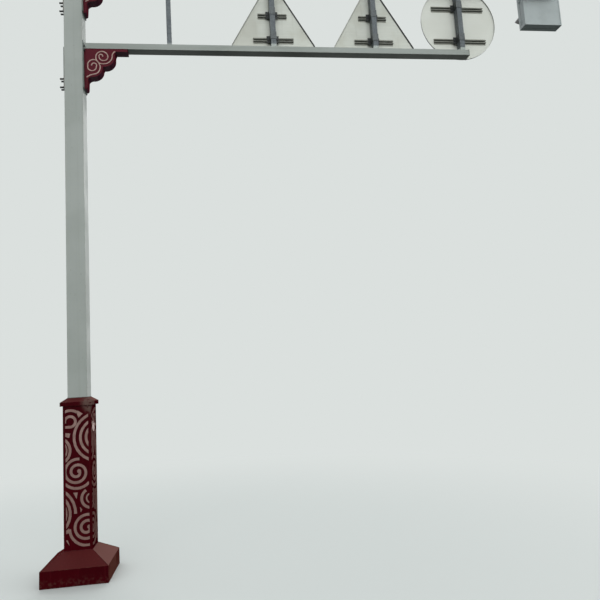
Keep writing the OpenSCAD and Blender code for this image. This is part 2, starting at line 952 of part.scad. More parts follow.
module lower_arm() { arm(lower_reach, lower_arm_z); }
module lower_arm_end() { arm_end(lower_reach, lower_arm_z); }
module lower_flange() { flange(lower_arm_z); }
module lower_back_plate() { back_plate_piece(lower_arm_z); }
module lower_studs() { studs(lower_arm_z); }
module lower_bracket() { bracket(lower_arm_z); }
module lower_bracket_scrolls() { bracket_scrolls(lower_arm_z); }
module upper_arm() { arm(upper_reach, upper_arm_z); }
module upper_arm_end() { arm_end(upper_reach, upper_arm_z); }
module upper_flange() { flange(upper_arm_z); }
module upper_back_plate() { back_plate_piece(upper_arm_z); }
module upper_studs() { studs(upper_arm_z); }
module upper_bracket() { bracket(upper_arm_z); }
module upper_bracket_scrolls() { bracket_scrolls(upper_arm_z); }

module triangle_rails(x) {
    rail(x, low_rail_lift, long_rail);
    rail(x, high_rail_lift, short_rail);
}

module triangle_clamps(x) {
    clamp(x, low_rail_lift);
    clamp(x, high_rail_lift);
}

base_plate();
plinth_box();
plinth_hip();
pedestal_column();
pedestal_cap();
scrollwork_front();
scrollwork_right();
scrollwork_back();
scrollwork_left();
pole();
pole_cap();
lower_arm();
lower_arm_end();
lower_flange();
lower_back_plate();
lower_studs();
lower_bracket();
lower_bracket_scrolls();
upper_arm();
upper_arm_end();
upper_flange();
upper_back_plate();
upper_studs();
upper_bracket();
upper_bracket_scrolls();
tie_post();
sign_post(first_post_x);  // first_sign_post
sign_post(second_post_x);  // second_sign_post
sign_post(round_post_x);  // round_sign_post
triangle_sign(first_sign_x);  // first_sign
triangle_sign(second_sign_x);  // second_sign
disc_sign();  // round_sign
triangle_rails(first_sign_x);  // first_sign_rails
triangle_rails(second_sign_x);  // second_sign_rails
union() {  // round_sign_rails
    rail(round_sign_x, disc_low_rail_lift, disc_rail);
    rail(round_sign_x, disc_high_rail_lift, disc_rail);
}
triangle_clamps(first_post_x);  // first_sign_clamps
triangle_clamps(second_post_x);  // second_sign_clamps
union() {  // round_sign_clamps
    clamp(round_post_x, disc_low_rail_lift);
    clamp(round_post_x, disc_high_rail_lift);
}
head_housing();
head_doors();
lens(0, lens_green);  // green_lens
lens(1, lens_amber);  // amber_lens
lens(2, lens_red);  // red_lens
head_hoods();
head_saddle();
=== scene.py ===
# %% [markdown]
# # A cantilever sign gantry
#
# A square steel pole stands on a maroon pedestal with raised scrolls. Two box arms reach
# far out to one side. Between them hang the backs of three signs, and a signal head is
# fixed to the longer arm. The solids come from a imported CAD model. This lesson gives them
# their paint, zinc, sheet and plastic, and adds the small things that a workshop adds
# last: weld beads, washers, the signs' film and hinges. Light and camera come at the end.

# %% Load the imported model
import math

import bmesh
import bpy
from mathutils import Matrix, Vector


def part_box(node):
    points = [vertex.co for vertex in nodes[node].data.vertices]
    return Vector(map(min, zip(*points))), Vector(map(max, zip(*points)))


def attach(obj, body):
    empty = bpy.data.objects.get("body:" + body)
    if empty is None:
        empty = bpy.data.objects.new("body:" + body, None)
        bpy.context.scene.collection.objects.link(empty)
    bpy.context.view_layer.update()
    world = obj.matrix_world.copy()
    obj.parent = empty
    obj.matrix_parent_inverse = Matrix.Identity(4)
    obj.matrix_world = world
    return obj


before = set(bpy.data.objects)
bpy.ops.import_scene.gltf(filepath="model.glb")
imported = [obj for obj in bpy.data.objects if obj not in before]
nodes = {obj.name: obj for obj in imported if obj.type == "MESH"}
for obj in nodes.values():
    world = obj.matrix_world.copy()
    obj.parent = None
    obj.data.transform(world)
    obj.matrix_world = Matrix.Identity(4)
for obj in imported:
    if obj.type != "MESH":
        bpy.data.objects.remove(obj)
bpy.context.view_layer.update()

# %% [markdown]
# ## Colours from a paint chart
#
# Paint charts give colours as red, green and blue from 0 to 255. Shaders work with light,
# so each value goes through the display curve backwards first. The numbers could be typed
# in as light, but then they could not be compared with a chart.

# %% Colours
def shade(red, green, blue):
    """A colour read off a screen, as linear light."""
    parts = [c / 255 for c in (red, green, blue)]
    return [c / 12.92 if c <= 0.04045 else ((c + 0.055) / 1.055) ** 2.4 for c in parts] + [1.0]


print("a middle grey in linear light:", [round(c, 3) for c in shade(128, 128, 128)])

# %% [markdown]
# ## One shader for each finish
#
# Outdoor paint is never one colour: it is mottled, streaked by rain and dusty on top. It
# could be painted by hand as an image, but on a pole of seven metres such an image would
# have to be huge to stay sharp. Here a finish starts from one shader, and later cells lay
# thin coats over its colour.

# %% A shader
def finish(name, colour, roughness, others=None):
    """A new material with one Principled shader: (material, node tree, shader)."""
    material = bpy.data.materials.new(name)
    material.use_nodes = True
    tree = material.node_tree
    shader = tree.nodes["Principled BSDF"]
    values = {"Base Color": colour, "Roughness": roughness} | (others or {})
    for socket, value in values.items():
        shader.inputs[socket].default_value = value
    return material, tree, shader


print("a finish starts from one Principled shader")

# %% [markdown]
# ## Fields of numbers
#
# Each coat follows a field: a number that changes over the surface, such as noise, a
# height, or the way a face points. Fields could be read from a flat unwrapping of the
# mesh. The object's own coordinates in metres are chosen because they need none, and
# because a streak then runs on from one piece to the next.

# %% Fields
def place(tree, stretch=(1, 1, 1)):
    """The object's coordinates in metres, stretched along its axes."""
    where = tree.nodes.new("ShaderNodeTexCoord")
    mapping = tree.nodes.new("ShaderNodeMapping")
    mapping.inputs["Scale"].default_value = stretch
    tree.links.new(where.outputs["Object"], mapping.inputs["Vector"])
    return mapping.outputs["Vector"]


def noise(tree, scale, stretch=(1, 1, 1), detail=4):
    """Soft random patches. A larger scale makes them smaller."""
    texture = tree.nodes.new("ShaderNodeTexNoise")
    texture.inputs["Scale"].default_value = scale
    texture.inputs["Detail"].default_value = detail
    texture.inputs["Roughness"].default_value = 0.55
    tree.links.new(place(tree, stretch), texture.inputs["Vector"])
    return texture.outputs["Fac"]


def runs(tree, across, down, detail=3):
    """Noise drawn out downwards, as rain draws it."""
    return noise(tree, 1.0, stretch=(across, across, down), detail=detail)


def part_of(tree, vector, axis):
    """One of the three numbers of a vector."""
    parts = tree.nodes.new("ShaderNodeSeparateXYZ")
    tree.links.new(vector, parts.inputs["Vector"])
    return parts.outputs[axis]


def along(tree, axis="Z"):
    """The object's own coordinate along an axis, in metres."""
    return part_of(tree, place(tree), axis)


def facing(tree, axis="Z"):
    """How far a face points along an axis, from -1 to 1."""
    return part_of(tree, tree.nodes.new("ShaderNodeNewGeometry").outputs["Normal"], axis)


print("fields ready")

# %% [markdown]
# ## Masks
#
# A mask says from 0 to 1 how much of a coat a spot gets. A colour ramp could make it from
# a field. Map Range is chosen because its two limits are numbers in the field's own unit,
# such as metres, and read well in code. Two masks multiplied cover only what both of them
# cover. A field knows its node tree by its id_data, so only what starts one is told it.

# %% Masks
def limits(field, low, high, to_low=0.0, to_high=1.0):
    """A mask that changes smoothly while a field goes from low to high."""
    tree = field.id_data
    ranged = tree.nodes.new("ShaderNodeMapRange")
    ranged.interpolation_type = "SMOOTHSTEP"
    for name, value in (("From Min", low), ("From Max", high), ("To Min", to_low), ("To Max", to_high)):
        ranged.inputs[name].default_value = value
    tree.links.new(field, ranged.inputs["Value"])
    return ranged.outputs["Result"]


def arithmetic(operation, first, second=None, kind="ShaderNodeMath"):
    """One step on a field, alone or with a second one, which may be a plain value."""
    tree = first.id_data
    step = tree.nodes.new(kind)
    step.operation = operation
    tree.links.new(first, step.inputs[0])
    if isinstance(second, bpy.types.NodeSocket):
        tree.links.new(second, step.inputs[1])
    elif second is not None:
        step.inputs[1].default_value = second
    return step.outputs["Value"]


def both(first, second):
    """The product of two masks, or of a mask and a number."""
    return arithmetic("MULTIPLY", first, second)


def size_of(field):
    """A field without its sign."""
    return arithmetic("ABSOLUTE", field)


def measure(operation, first, second=None):
    """A number from one vector or from two, such as a length or a distance."""
    return arithmetic(operation, first, second, "ShaderNodeVectorMath")


print("masks ready")

# %% [markdown]
# ## Coats
#
# A coat is one more colour, brushed or blown over what is there. It could be a shader of
# its own, mixed with the first. Mixing only the colours is lighter and enough for dust,
# painted shade and fading, which leave the paint's own sheen. Each coat takes the colour
# that is linked so far and links its mixture instead, so the order of the calls is the
# order of the coats.

# %% Coats
def coat(shader, colour, mask):
    """Lays a colour over the shader's base colour where the mask is high."""
    tree = shader.id_data
    mix = tree.nodes.new("ShaderNodeMix")
    mix.data_type = "RGBA"
    base = shader.inputs["Base Color"]
    if base.is_linked:
        tree.links.new(base.links[0].from_socket, mix.inputs["A"])
    else:
        mix.inputs["A"].default_value = base.default_value
    mix.inputs["B"].default_value = colour
    tree.links.new(mask, mix.inputs["Factor"])
    tree.links.new(mix.outputs["Result"], base)


def glaze(shader, colour, field, low, high, strength):
    """A coat that grows with a field between two limits, up to a strength."""
    coat(shader, colour, limits(field, low, high, 0.0, strength))


def painted_underside_shade(shader, colour, strength):
    """Painted shade: a darker coat on the faces that look down."""
    glaze(shader, colour, facing(shader.id_data), -0.4, -0.9, strength)


print("coats ready")

# %% [markdown]
# ## Edges, bumps and sheen
#
# Every real edge is a little round and catches light. It could be bevelled in the mesh,
# but the CAD meshes stay as they are. The bevel node tells how a face would point if its
# edges were rounded. Used as the normal, it softens an edge without any geometry. Where
# it leaves the true normal, an edge is near, and paint chips there first.

# %% Edges, bumps and sheen
def steer(shader, socket, field):
    """Lets a field set one of a shader's values."""
    shader.id_data.links.new(field, shader.inputs[socket])


def rounded_normal(tree, radius):
    """The way that a face would point with its edges rounded."""
    rounded = tree.nodes.new("ShaderNodeBevel")
    rounded.samples = 4
    rounded.inputs["Radius"].default_value = radius
    return rounded.outputs["Normal"]


def chip_edges(shader, colour, strength, width, patches):
    """A coat on sharp edges, kept to the patches of a mask."""
    tree = shader.id_data
    true_normal = tree.nodes.new("ShaderNodeNewGeometry").outputs["Normal"]
    match = measure("DOT_PRODUCT", rounded_normal(tree, width), true_normal)
    chipped = both(limits(match, 0.995, 0.9), patches)
    coat(shader, colour, both(chipped, strength))


def relief(shader, fields, edge=0.0):
    """Bumps from (field, depth in metres) pairs, over edges rounded by shading alone."""
    tree = shader.id_data
    under = rounded_normal(tree, edge) if edge else None
    for field, depth in fields:
        bump = tree.nodes.new("ShaderNodeBump")
        bump.inputs["Distance"].default_value = depth
        tree.links.new(field, bump.inputs["Height"])
        if under is not None:
            tree.links.new(under, bump.inputs["Normal"])
        under = bump.outputs["Normal"]
    steer(shader, "Normal", under)


def sheen_of(shader, field, low, high):
    """Roughness that wanders between two values with a field."""
    steer(shader, "Roughness", limits(field, 0.3, 0.7, low, high))


print("edges, bumps and sheen ready")

# %% [markdown]
# ## Streaks on the pole and the arms
#
# The pole and the arms carry a sprayed off-white coat. The pole's coat is greyed, which is
# painted shade, and the arms are greyer towards their roots. Rain leaves thin streaks,
# which run down the pole and along the arms. Pole and arms could have a material each. One
# coat that asks how far a spot is from the pole keeps their shared colour in one place.

# %% Streaks on pole and arms
OFF_WHITE = shade(178, 186, 181)
ARM_ROOT = 0.11
PAST_ROOT = 0.16


def pole_streaks_and_shade(tree, shader):
    on_pole = limits(along(tree, "X"), PAST_ROOT, ARM_ROOT)
    streaks = limits(runs(tree, 26, 0.5), 0.5, 0.78, 0.0, 0.4)
    coat(shader, shade(130, 136, 126), both(streaks, on_pole))
    # Painted shade: the whole pole is greyed.
    coat(shader, shade(148, 154, 149), both(on_pole, 0.55))


def weather_arms(tree, shader):
    on_arm = limits(along(tree, "X"), ARM_ROOT, PAST_ROOT)
    greyed = limits(along(tree, "X"), 1.8, 0.3, 0.5, 0.9)
    coat(shader, shade(138, 145, 140), both(on_arm, greyed))
    lengthwise = noise(tree, 1.0, stretch=(0.8, 24, 30), detail=3)
    streaks = limits(lengthwise, 0.5, 0.76, 0.0, 0.4)
    coat(shader, shade(132, 138, 128), both(streaks, on_arm))


print("the arms' own coat begins", ARM_ROOT, "m from the pole's middle")

# %% [markdown]
# ## Off-white coat
#
# Dust settles on faces that look up. The undersides get a darker coat, which is painted
# shade. Both could be painted in where they belong. The way a face points tells as much,
# so one coat serves every face. It also sets the shine, which is lower on faces that look
# down or out along the arms. Clouds, specks and chipped edges break up what is left even.

# %% Off-white coat
def off_white_coat():
    sealed = {"Coat Weight": 0.1, "Coat Roughness": 0.25}
    material, tree, shader = finish("off_white_coat", OFF_WHITE, 0.45, sealed)
    gloss = limits(facing(tree, "X"), 0.4, 0.9, 0.5, 0.12)
    dulled = limits(facing(tree), -0.4, -0.9, 1.0, 0.4)
    steer(shader, "Specular IOR Level", both(gloss, dulled))
    clouds = noise(tree, 1.6, detail=5)
    glaze(shader, shade(160, 169, 163), clouds, 0.42, 0.68, 0.7)
    pole_streaks_and_shade(tree, shader)
    weather_arms(tree, shader)
    glaze(shader, shade(112, 112, 100), noise(tree, 46, detail=2), 0.68, 0.78, 0.5)
    # Painted shade: the undersides are darkened.
    painted_underside_shade(shader, shade(62, 69, 62), 0.94)
    glaze(shader, shade(150, 148, 136), facing(tree), 0.6, 0.95, 0.5)
    patches = limits(noise(tree, 18, detail=5), 0.45, 0.6)
    chip_edges(shader, shade(104, 88, 74), 0.6, 0.006, patches)
    sheen_of(shader, clouds, 0.38, 0.6)
    grain = noise(tree, 260, detail=2)
    relief(shader, [(grain, 0.00006), (noise(tree, 9, detail=3), 0.0004)], edge=0.003)
    return material


white = off_white_coat()
print("off-white coat with", len(white.node_tree.nodes), "nodes")

# %% [markdown]
# ## Rust below the studs
#
# The flanges and the plates behind the pole have a darker coat. Water runs down from the
# studs and carries a little rust, so brown tears start at the height of each row of studs.
# They could be dabbed on one by one in an image. Drawn-out noise gives them all at once,
# and limits on the height, taken from the arms' boxes, say where they start and fade.

# %% Weathered plates
STUD_ROWS = (-0.464, -0.362)
TEAR_LENGTH = 0.09
row_heights = [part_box(f"{level}_arm")[0].z + row for level in ("lower", "upper") for row in STUD_ROWS]


def rusty_tears(tree, shader):
    """Brown runs that start at each row of studs and fade out below it."""
    tears = limits(runs(tree, 70, 2.5, detail=2), 0.5, 0.66, 0.0, 0.75)
    for row in row_heights:
        fading = limits(along(tree), row - TEAR_LENGTH, row - 0.01)
        band = both(fading, limits(along(tree), row + 0.012, row))
        coat(shader, shade(112, 78, 52), both(band, tears))


def weathered_plate():
    material, tree, shader = finish("weathered_plate", shade(112, 120, 116), 0.6)
    clouds = noise(tree, 6, detail=5)
    glaze(shader, shade(86, 94, 90), clouds, 0.42, 0.66, 0.8)
    rusty_tears(tree, shader)
    # Painted shade: the undersides are darkened.
    painted_underside_shade(shader, shade(70, 74, 72), 0.85)
    sheen_of(shader, clouds, 0.45, 0.7)
    relief(shader, [(noise(tree, 200, detail=3), 0.0001)], edge=0.002)
    return material


plate = weathered_plate()
print("weathered plate with", len(row_heights), "rows of tears")

# %% [markdown]
# ## Wear on the pedestal
#
# Rain splashes dust up at the plinth's foot, and its right side is a lighter brown. One
# corner of the cap is rubbed brown. A ragged pale patch lies high on the column's right
# side, on the maroon and the rose alike. Such marks could be small textured sheets laid
# on the surface. The distance from a point, made ragged by noise, needs no extra sheet
# and passes from one material to the next.

# %% Dust, rubbed corner and flake
cap_low, cap_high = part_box("pedestal_cap")
RUBBED_AT = (cap_high.x, cap_low.y, cap_low.z + 0.02)
PALE_PATCH_AT = (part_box("pedestal_column")[1].x, -0.02, 1.53)


def near(tree, point, inner, outer):
    """A mask that is high close to a point and ends at the outer distance."""
    return limits(measure("DISTANCE", place(tree), point), outer, inner)


def ground_dust(tree, shader):
    foot = limits(along(tree), 0.12, 0.0)
    splash = both(foot, limits(noise(tree, 34, detail=5), 0.45, 0.66))
    coat(shader, shade(110, 84, 74), both(splash, 0.3))
    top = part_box("plinth_box")[1].z
    on_plinth = limits(along(tree), top + 0.001, top - 0.001)
    right_side = both(on_plinth, limits(facing(tree, "X"), 0.4, 0.8))
    uneven = limits(noise(tree, 9, stretch=(1, 1, 0.6), detail=6), 0.36, 0.6, 0.45, 0.95)
    coat(shader, shade(97, 57, 49), both(right_side, uneven))


def rubbed_corner(tree, shader):
    patches = limits(noise(tree, 40, detail=5), 0.34, 0.5)
    coat(shader, shade(99, 77, 71), both(near(tree, RUBBED_AT, 0.07, 0.14), patches))


def pale_patch(tree, shader):
    """A pale patch with a ragged edge: noise gives the edge, the distance the size."""
    ragged = both(near(tree, PALE_PATCH_AT, 0.0, 0.125), noise(tree, 26, detail=6))
    coat(shader, shade(240, 218, 213), limits(ragged, 0.3, 0.32))


print("the flake lies", PALE_PATCH_AT[2], "m up")

# %% [markdown]
# ## Shine and tones of the maroon
#
# The maroon is a gloss enamel over sheet. It is painted deeper and duller on the pedestal
# than on the brackets high above, which is painted shade. Seen at a low angle, gloss paint
# mirrors the pale sky and loses its red. A rougher paint would lose its sharp glints
# everywhere. The specular level is lowered instead: on the pedestal, on faces that look
# down, and most of all on those that look along the arms or away from them.

# %% Shine and tones of the maroon
MAROON = shade(80, 3, 16)
PEDESTAL_ENDS = 2.0
BRACKETS_BEGIN = 4.0


def maroon_gloss(tree, shader):
    """Less shine on faces that look down or sideways, and on the pedestal."""
    gloss = limits(facing(tree), -0.3, 0.6, 0.03, 0.14)
    grazed = limits(size_of(facing(tree, "X")), 0.3, 0.5, 1.0, 0.0)
    on_pedestal = limits(along(tree), PEDESTAL_ENDS, BRACKETS_BEGIN, 0.5, 1.0)
    steer(shader, "Specular IOR Level", both(both(gloss, grazed), on_pedestal))


def maroon_tones(tree, shader, clouds):
    """Painted shade low down, a lighter and greyer red high up, and streaks over all."""
    glaze(shader, shade(58, 2, 11), clouds, 0.4, 0.66, 0.7)
    # Painted shade: the red is deepened on the pedestal, below the brackets.
    glaze(shader, shade(52, 1, 6), along(tree), BRACKETS_BEGIN, PEDESTAL_ENDS, 0.6)
    high_up = limits(along(tree), PEDESTAL_ENDS, BRACKETS_BEGIN)
    coat(shader, shade(92, 30, 42), both(high_up, limits(clouds, 0.3, 0.6, 0.5, 0.95)))
    glaze(shader, shade(112, 32, 40), runs(tree, 42, 1.4), 0.56, 0.8, 0.4)


# The deeper red that fades out here is painted shade.
print("soot fades out between", PEDESTAL_ENDS, "and", BRACKETS_BEGIN, "m up")

# %% [markdown]
# ## Maroon coat on the pedestal and the brackets
#
# The enamel has faded a little where it faces the sky. Faces that look down get a flat
# greyed coat, which is painted shade. Pedestal and brackets could have a red each. One coat
# that changes with the height keeps the two alike. The marks of wear lie over its tones,
# and the chipped edges over all.

# %% Maroon coat
def maroon_coat():
    material, tree, shader = finish("maroon_coat", MAROON, 0.36)
    maroon_gloss(tree, shader)
    clouds = noise(tree, 3.2, detail=5)
    maroon_tones(tree, shader, clouds)
    ground_dust(tree, shader)
    glaze(shader, shade(60, 34, 28), noise(tree, 30, detail=3), 0.7, 0.76, 0.7)
    looks_up = limits(facing(tree), 0.45, 0.9)
    coat(shader, shade(104, 50, 48), both(looks_up, 0.45))
    # Painted reflection: the hip's right slopes get the pale haze of a mirrored sky as colour.
    hip_right_haze = both(looks_up, limits(facing(tree, "X"), 0.3, 0.5))
    coat(shader, shade(132, 96, 90), both(hip_right_haze, 0.72))
    # Painted shade: faces that look down get a flat greyed red.
    glaze(shader, shade(80, 46, 60), facing(tree), -0.15, -0.7, 0.9)
    rubbed_corner(tree, shader)
    pale_patch(tree, shader)
    patches = limits(noise(tree, 22, detail=5), 0.45, 0.58)
    chip_edges(shader, shade(92, 58, 46), 0.7, 0.006, patches)
    sheen_of(shader, clouds, 0.28, 0.5)
    grain = noise(tree, 220, detail=2)
    relief(shader, [(grain, 0.00006), (noise(tree, 7, detail=3), 0.0007)], edge=0.003)
    return material


maroon = maroon_coat()
print("maroon coat with", len(maroon.node_tree.nodes), "nodes")

# %% [markdown]
# ## Pale rose on the scrolls
#
# The raised bands are picked out by brush in a pale rose. The brush leaves thin places
# where the maroon shows through. The bands are painted duller low down and on the right
# side, which is painted shade, with some dust near the ground. On flat sheet a mask would
# have to draw the scrolls. Here they are solids of the CAD model, so they simply get their
# own material, which shares the pale patch with the maroon.

# %% Pale rose
PALE_ROSE = shade(182, 154, 144)


def rose_shade_and_dust(tree, shader, patches):
    """Painted shade: a duller rose on the pedestal, duller near the ground and on the right."""
    low_down = limits(along(tree), BRACKETS_BEGIN, PEDESTAL_ENDS, 0.0, 0.85)
    # Painted shade over the pedestal's bands.
    coat(shader, shade(130, 99, 92), both(low_down, limits(patches, 0.3, 0.6, 0.8, 1.0)))
    glaze(shader, shade(104, 80, 70), along(tree), 1.8, 0.4, 0.4)
    shaded = both(low_down, limits(facing(tree, "X"), 0.4, 0.8))
    coat(shader, shade(108, 74, 70), both(shaded, 0.75))


def pale_rose_coat():
    material, tree, shader = finish("pale_rose_coat", PALE_ROSE, 0.5)
    steer(shader, "Specular IOR Level", limits(size_of(facing(tree, "X")), 0.3, 0.5, 0.4, 0.0))
    patches = noise(tree, 16, detail=5)
    glaze(shader, shade(158, 126, 118), patches, 0.42, 0.62, 0.8)
    thin = noise(tree, 60, detail=4)
    glaze(shader, shade(132, 70, 74), thin, 0.63, 0.72, 0.7)
    glaze(shader, shade(120, 108, 98), runs(tree, 40, 1.2), 0.55, 0.78, 0.6)
    rose_shade_and_dust(tree, shader, patches)
    pale_patch(tree, shader)
    chips = limits(noise(tree, 30, detail=5), 0.42, 0.56)
    chip_edges(shader, shade(108, 40, 48), 0.75, 0.004, chips)
    sheen_of(shader, patches, 0.4, 0.62)
    relief(shader, [(noise(tree, 160, detail=3), 0.00012)], edge=0.0025)
    return material


rose = pale_rose_coat()
print("pale rose with", len(rose.node_tree.nodes), "nodes")

# %% [markdown]
# ## Galvanised steel
#
# Hot-dip zinc freezes in flat crystals, each a slightly different grey. Noise could stand
# for them, but it has soft borders. The cells of a Voronoi texture are flat patches with
# sharp ones. Rain leaves pale runs. The undersides and the faces that look towards the pole
# are darkened as painted shade.

# %% Galvanised steel
def crystals(tree, scale):
    """A random grey for each cell of a Voronoi texture."""
    cells = tree.nodes.new("ShaderNodeTexVoronoi")
    cells.inputs["Scale"].default_value = scale
    tree.links.new(place(tree), cells.inputs["Vector"])
    parts = tree.nodes.new("ShaderNodeSeparateColor")
    tree.links.new(cells.outputs["Color"], parts.inputs["Color"])
    return parts.outputs["Red"]


def zinc_coat(name, base, dark, pale):
    material, tree, shader = finish(name, base, 0.5, {"Metallic": 0.2})
    spangle = crystals(tree, 95)
    glaze(shader, dark, spangle, 0.2, 0.9, 0.5)
    glaze(shader, dark, noise(tree, 5, detail=5), 0.48, 0.7, 0.6)
    glaze(shader, pale, runs(tree, 30, 3, detail=4), 0.6, 0.74, 0.5)
    # Painted shade: darker undersides and faces that look towards the pole.
    painted_underside_shade(shader, shade(46, 48, 48), 0.7)
    glaze(shader, shade(54, 58, 60), facing(tree, "X"), -0.5, -0.9, 0.4)
    sheen_of(shader, spangle, 0.42, 0.62)
    relief(shader, [(spangle, 0.00004), (noise(tree, 90, detail=2), 0.00008)], edge=0.002)
    return material, tree, shader


print("a zinc takes three greys")

# %% [markdown]
# ## Marks of the three zincs
#
# Posts, rails and clamps could share one zinc, but on the object each looks different.
# All three come from one function with other greys, and each then gets a mark of its own.
# The lower arm's paint was carried up a little on the posts' feet. A rail's flange, which
# lies on the sign, is paler than its channel. The clamps are dark, partly grime and partly
# painted shade, and only the front of a strap keeps a lighter zinc grey.

# %% Three zincs
PAINTED_FOOT = 0.038
FLANGE_Y = 0.072


def zinc_of_posts():
    greys = (shade(100, 107, 111), shade(80, 87, 92), shade(134, 140, 140))
    material, tree, shader = zinc_coat("zinc_coat", *greys)
    paint_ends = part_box("lower_arm")[1].z + PAINTED_FOOT
    foot = limits(along(tree), paint_ends + 0.004, paint_ends - 0.004)
    brushed = both(foot, limits(noise(tree, 60, detail=4), 0.35, 0.55, 0.6, 1.0))
    on_signs = limits(along(tree, "X"), 1.3, 1.5, 0.45, 1.0)
    coat(shader, OFF_WHITE, both(brushed, on_signs))
    return material


def zinc_of_rails():
    greys = (shade(124, 126, 117), shade(97, 99, 91), shade(150, 150, 142))
    material, tree, shader = zinc_coat("dull_zinc", *greys)
    flange = limits(along(tree, "Y"), FLANGE_Y - 0.0005, FLANGE_Y + 0.0005)
    coat(shader, shade(176, 178, 168), both(flange, 0.8))
    return material


def zinc_of_clamps():
    # Dark greys: grime and painted shade together.
    greys = (shade(46, 50, 50), shade(34, 37, 37), shade(74, 78, 76))
    material, tree, shader = zinc_coat("grimy_shaded_zinc", *greys)
    strap_front = limits(along(tree, "Y"), -0.048, -0.051)
    unshaded_strap_front = both(strap_front, limits(noise(tree, 50, detail=4), 0.35, 0.6, 0.65, 1.0))
    coat(shader, shade(100, 106, 108), unshaded_strap_front)
    return material


zinc = zinc_of_posts()
rail_zinc = zinc_of_rails()
clamp_zinc = zinc_of_clamps()
print("three zincs:", zinc.name, rail_zinc.name, clamp_zinc.name)

# %% [markdown]
# ## Bare sheet
#
# The signs' backs are bare aluminium with the fine lines of the rolling mill and drips of
# rain. A painted shadow lies as a dark line where a triangle's sheet meets its right rim,
# and the rims' sides are painted darker as shade. The ambient occlusion node could find
# that corner, but it is slow and gives a soft shade rather than a sharp line. A spot's
# distance along one direction, a dot product, tells how near a straight edge is, and two
# limits round that value draw the dark line.

# %% Rolled sheet
TRIANGLE_SIDE = 1.1
SHADOW_LINE_WIDTH = 0.011


def along_right_edge(tree, sign):
    """A mask for the painted shadow line in the corner between sheet and right rim."""
    low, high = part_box(sign)
    out = Vector((math.cos(math.radians(30)), 0, math.sin(math.radians(30))))
    inscribed = TRIANGLE_SIDE / (2 * math.sqrt(3))
    edge = out.dot(Vector(((low.x + high.x) / 2, 0, low.z + inscribed))) + inscribed
    reach = measure("DOT_PRODUCT", place(tree), out)
    begins = limits(reach, edge - SHADOW_LINE_WIDTH - 0.004, edge - SHADOW_LINE_WIDTH)
    return both(begins, limits(reach, edge + 0.004, edge + 0.001))


def rolled_sheet():
    material, tree, shader = finish("rolled_sheet", shade(212, 216, 207), 0.5, {"Metallic": 0.1})
    rolling = noise(tree, 1.0, stretch=(2.5, 60, 140), detail=3)
    glaze(shader, shade(202, 206, 198), rolling, 0.45, 0.62, 0.5)
    clouds = noise(tree, 3.0, detail=5)
    glaze(shader, shade(196, 197, 184), clouds, 0.45, 0.68, 0.5)
    glaze(shader, shade(170, 172, 162), runs(tree, 18, 0.8), 0.58, 0.8, 0.35)
    on_disc = limits(along(tree, "X"), 4.15, 4.25, 0.0, 0.75)
    coat(shader, shade(226, 229, 221), on_disc)
    on_first = limits(along(tree, "X"), 2.2, 2.1, 0.0, 0.5)
    coat(shader, shade(186, 187, 176), on_first)
    # Painted shade: the rims' side faces are darkened, less on the disc.
    rim = limits(size_of(facing(tree, "Y")), 0.7, 0.3)
    coat(shader, shade(88, 92, 94), rim)
    coat(shader, shade(150, 152, 150), both(rim, on_disc))
    # Painted shadow: a dark line inside each triangle's right rim.
    for sign in ("first_sign", "second_sign"):
        coat(shader, shade(34, 37, 41), both(along_right_edge(tree, sign), 0.85))
    sheen_of(shader, clouds, 0.42, 0.6)
    relief(shader, [(rolling, 0.00003), (noise(tree, 3, detail=2), 0.001)])
    return material


sheet = rolled_sheet()
print("rolled sheet with", len(sheet.node_tree.nodes), "nodes")

# %% [markdown]
# ## Dark steel
#
# The studs and the base plate are dark steel with spots of rust. A thread could be cut as
# a spiral groove, which takes thousands of faces and shows only from very near. Fine
# bands of noise across the studs' length stand for it.

# %% Dark steel
def dark_steel():
    material, tree, shader = finish("dark_steel", shade(44, 46, 48), 0.5, {"Metallic": 0.3})
    rust = noise(tree, 55, detail=5)
    glaze(shader, shade(84, 50, 32), rust, 0.54, 0.7, 0.7)
    sheen_of(shader, rust, 0.4, 0.75)
    threads = noise(tree, 1.0, stretch=(450, 3, 3), detail=0)
    relief(shader, [(rust, 0.0002), (threads, 0.0005)], edge=0.001)
    return material


steel = dark_steel()
print("dark steel")

# %% [markdown]
# ## Plastics and lenses of the signal head
#
# The head is moulded in grey, its hoods in black. An unlit lens looks almost black from
# afar and shows its colour only where light gets in. Small prisms on its inside scatter
# the light. They could be modelled behind clear glass, which renders slowly and with
# grain. A fine pattern of cells in an opaque material gives the same look.

# %% Plastics and lenses
def moulded(name, colour, faded, side, under):
    """Moulded plastic: greys for faded patches, and painted shade on left side and undersides."""
    material, tree, shader = finish(name, colour, 0.55, {"Specular IOR Level": 0.15})
    glaze(shader, faded, noise(tree, 4, detail=5), 0.42, 0.66, 0.6)
    glaze(shader, shade(104, 108, 104), runs(tree, 28, 1.2), 0.58, 0.8, 0.35)
    # Painted shade: faces that look towards the pole and the undersides are darkened.
    glaze(shader, side, facing(tree, "X"), -0.5, -0.9, 0.7)
    painted_underside_shade(shader, under, 0.8)
    relief(shader, [(noise(tree, 420, detail=2), 0.00008)], edge=0.004)
    return material


def darker(colour, share):
    """A colour with only a share of its light."""
    return [c * share for c in colour[:3]] + [1.0]


def lens_glass(name, colour):
    material, tree, shader = finish(name, colour, 0.18, {"Coat Weight": 0.25, "Coat Roughness": 0.06})
    prisms = crystals(tree, 190)
    glaze(shader, darker(colour, 0.35), prisms, 0.1, 0.9, 0.7)
    relief(shader, [(prisms, 0.0004)])
    return material


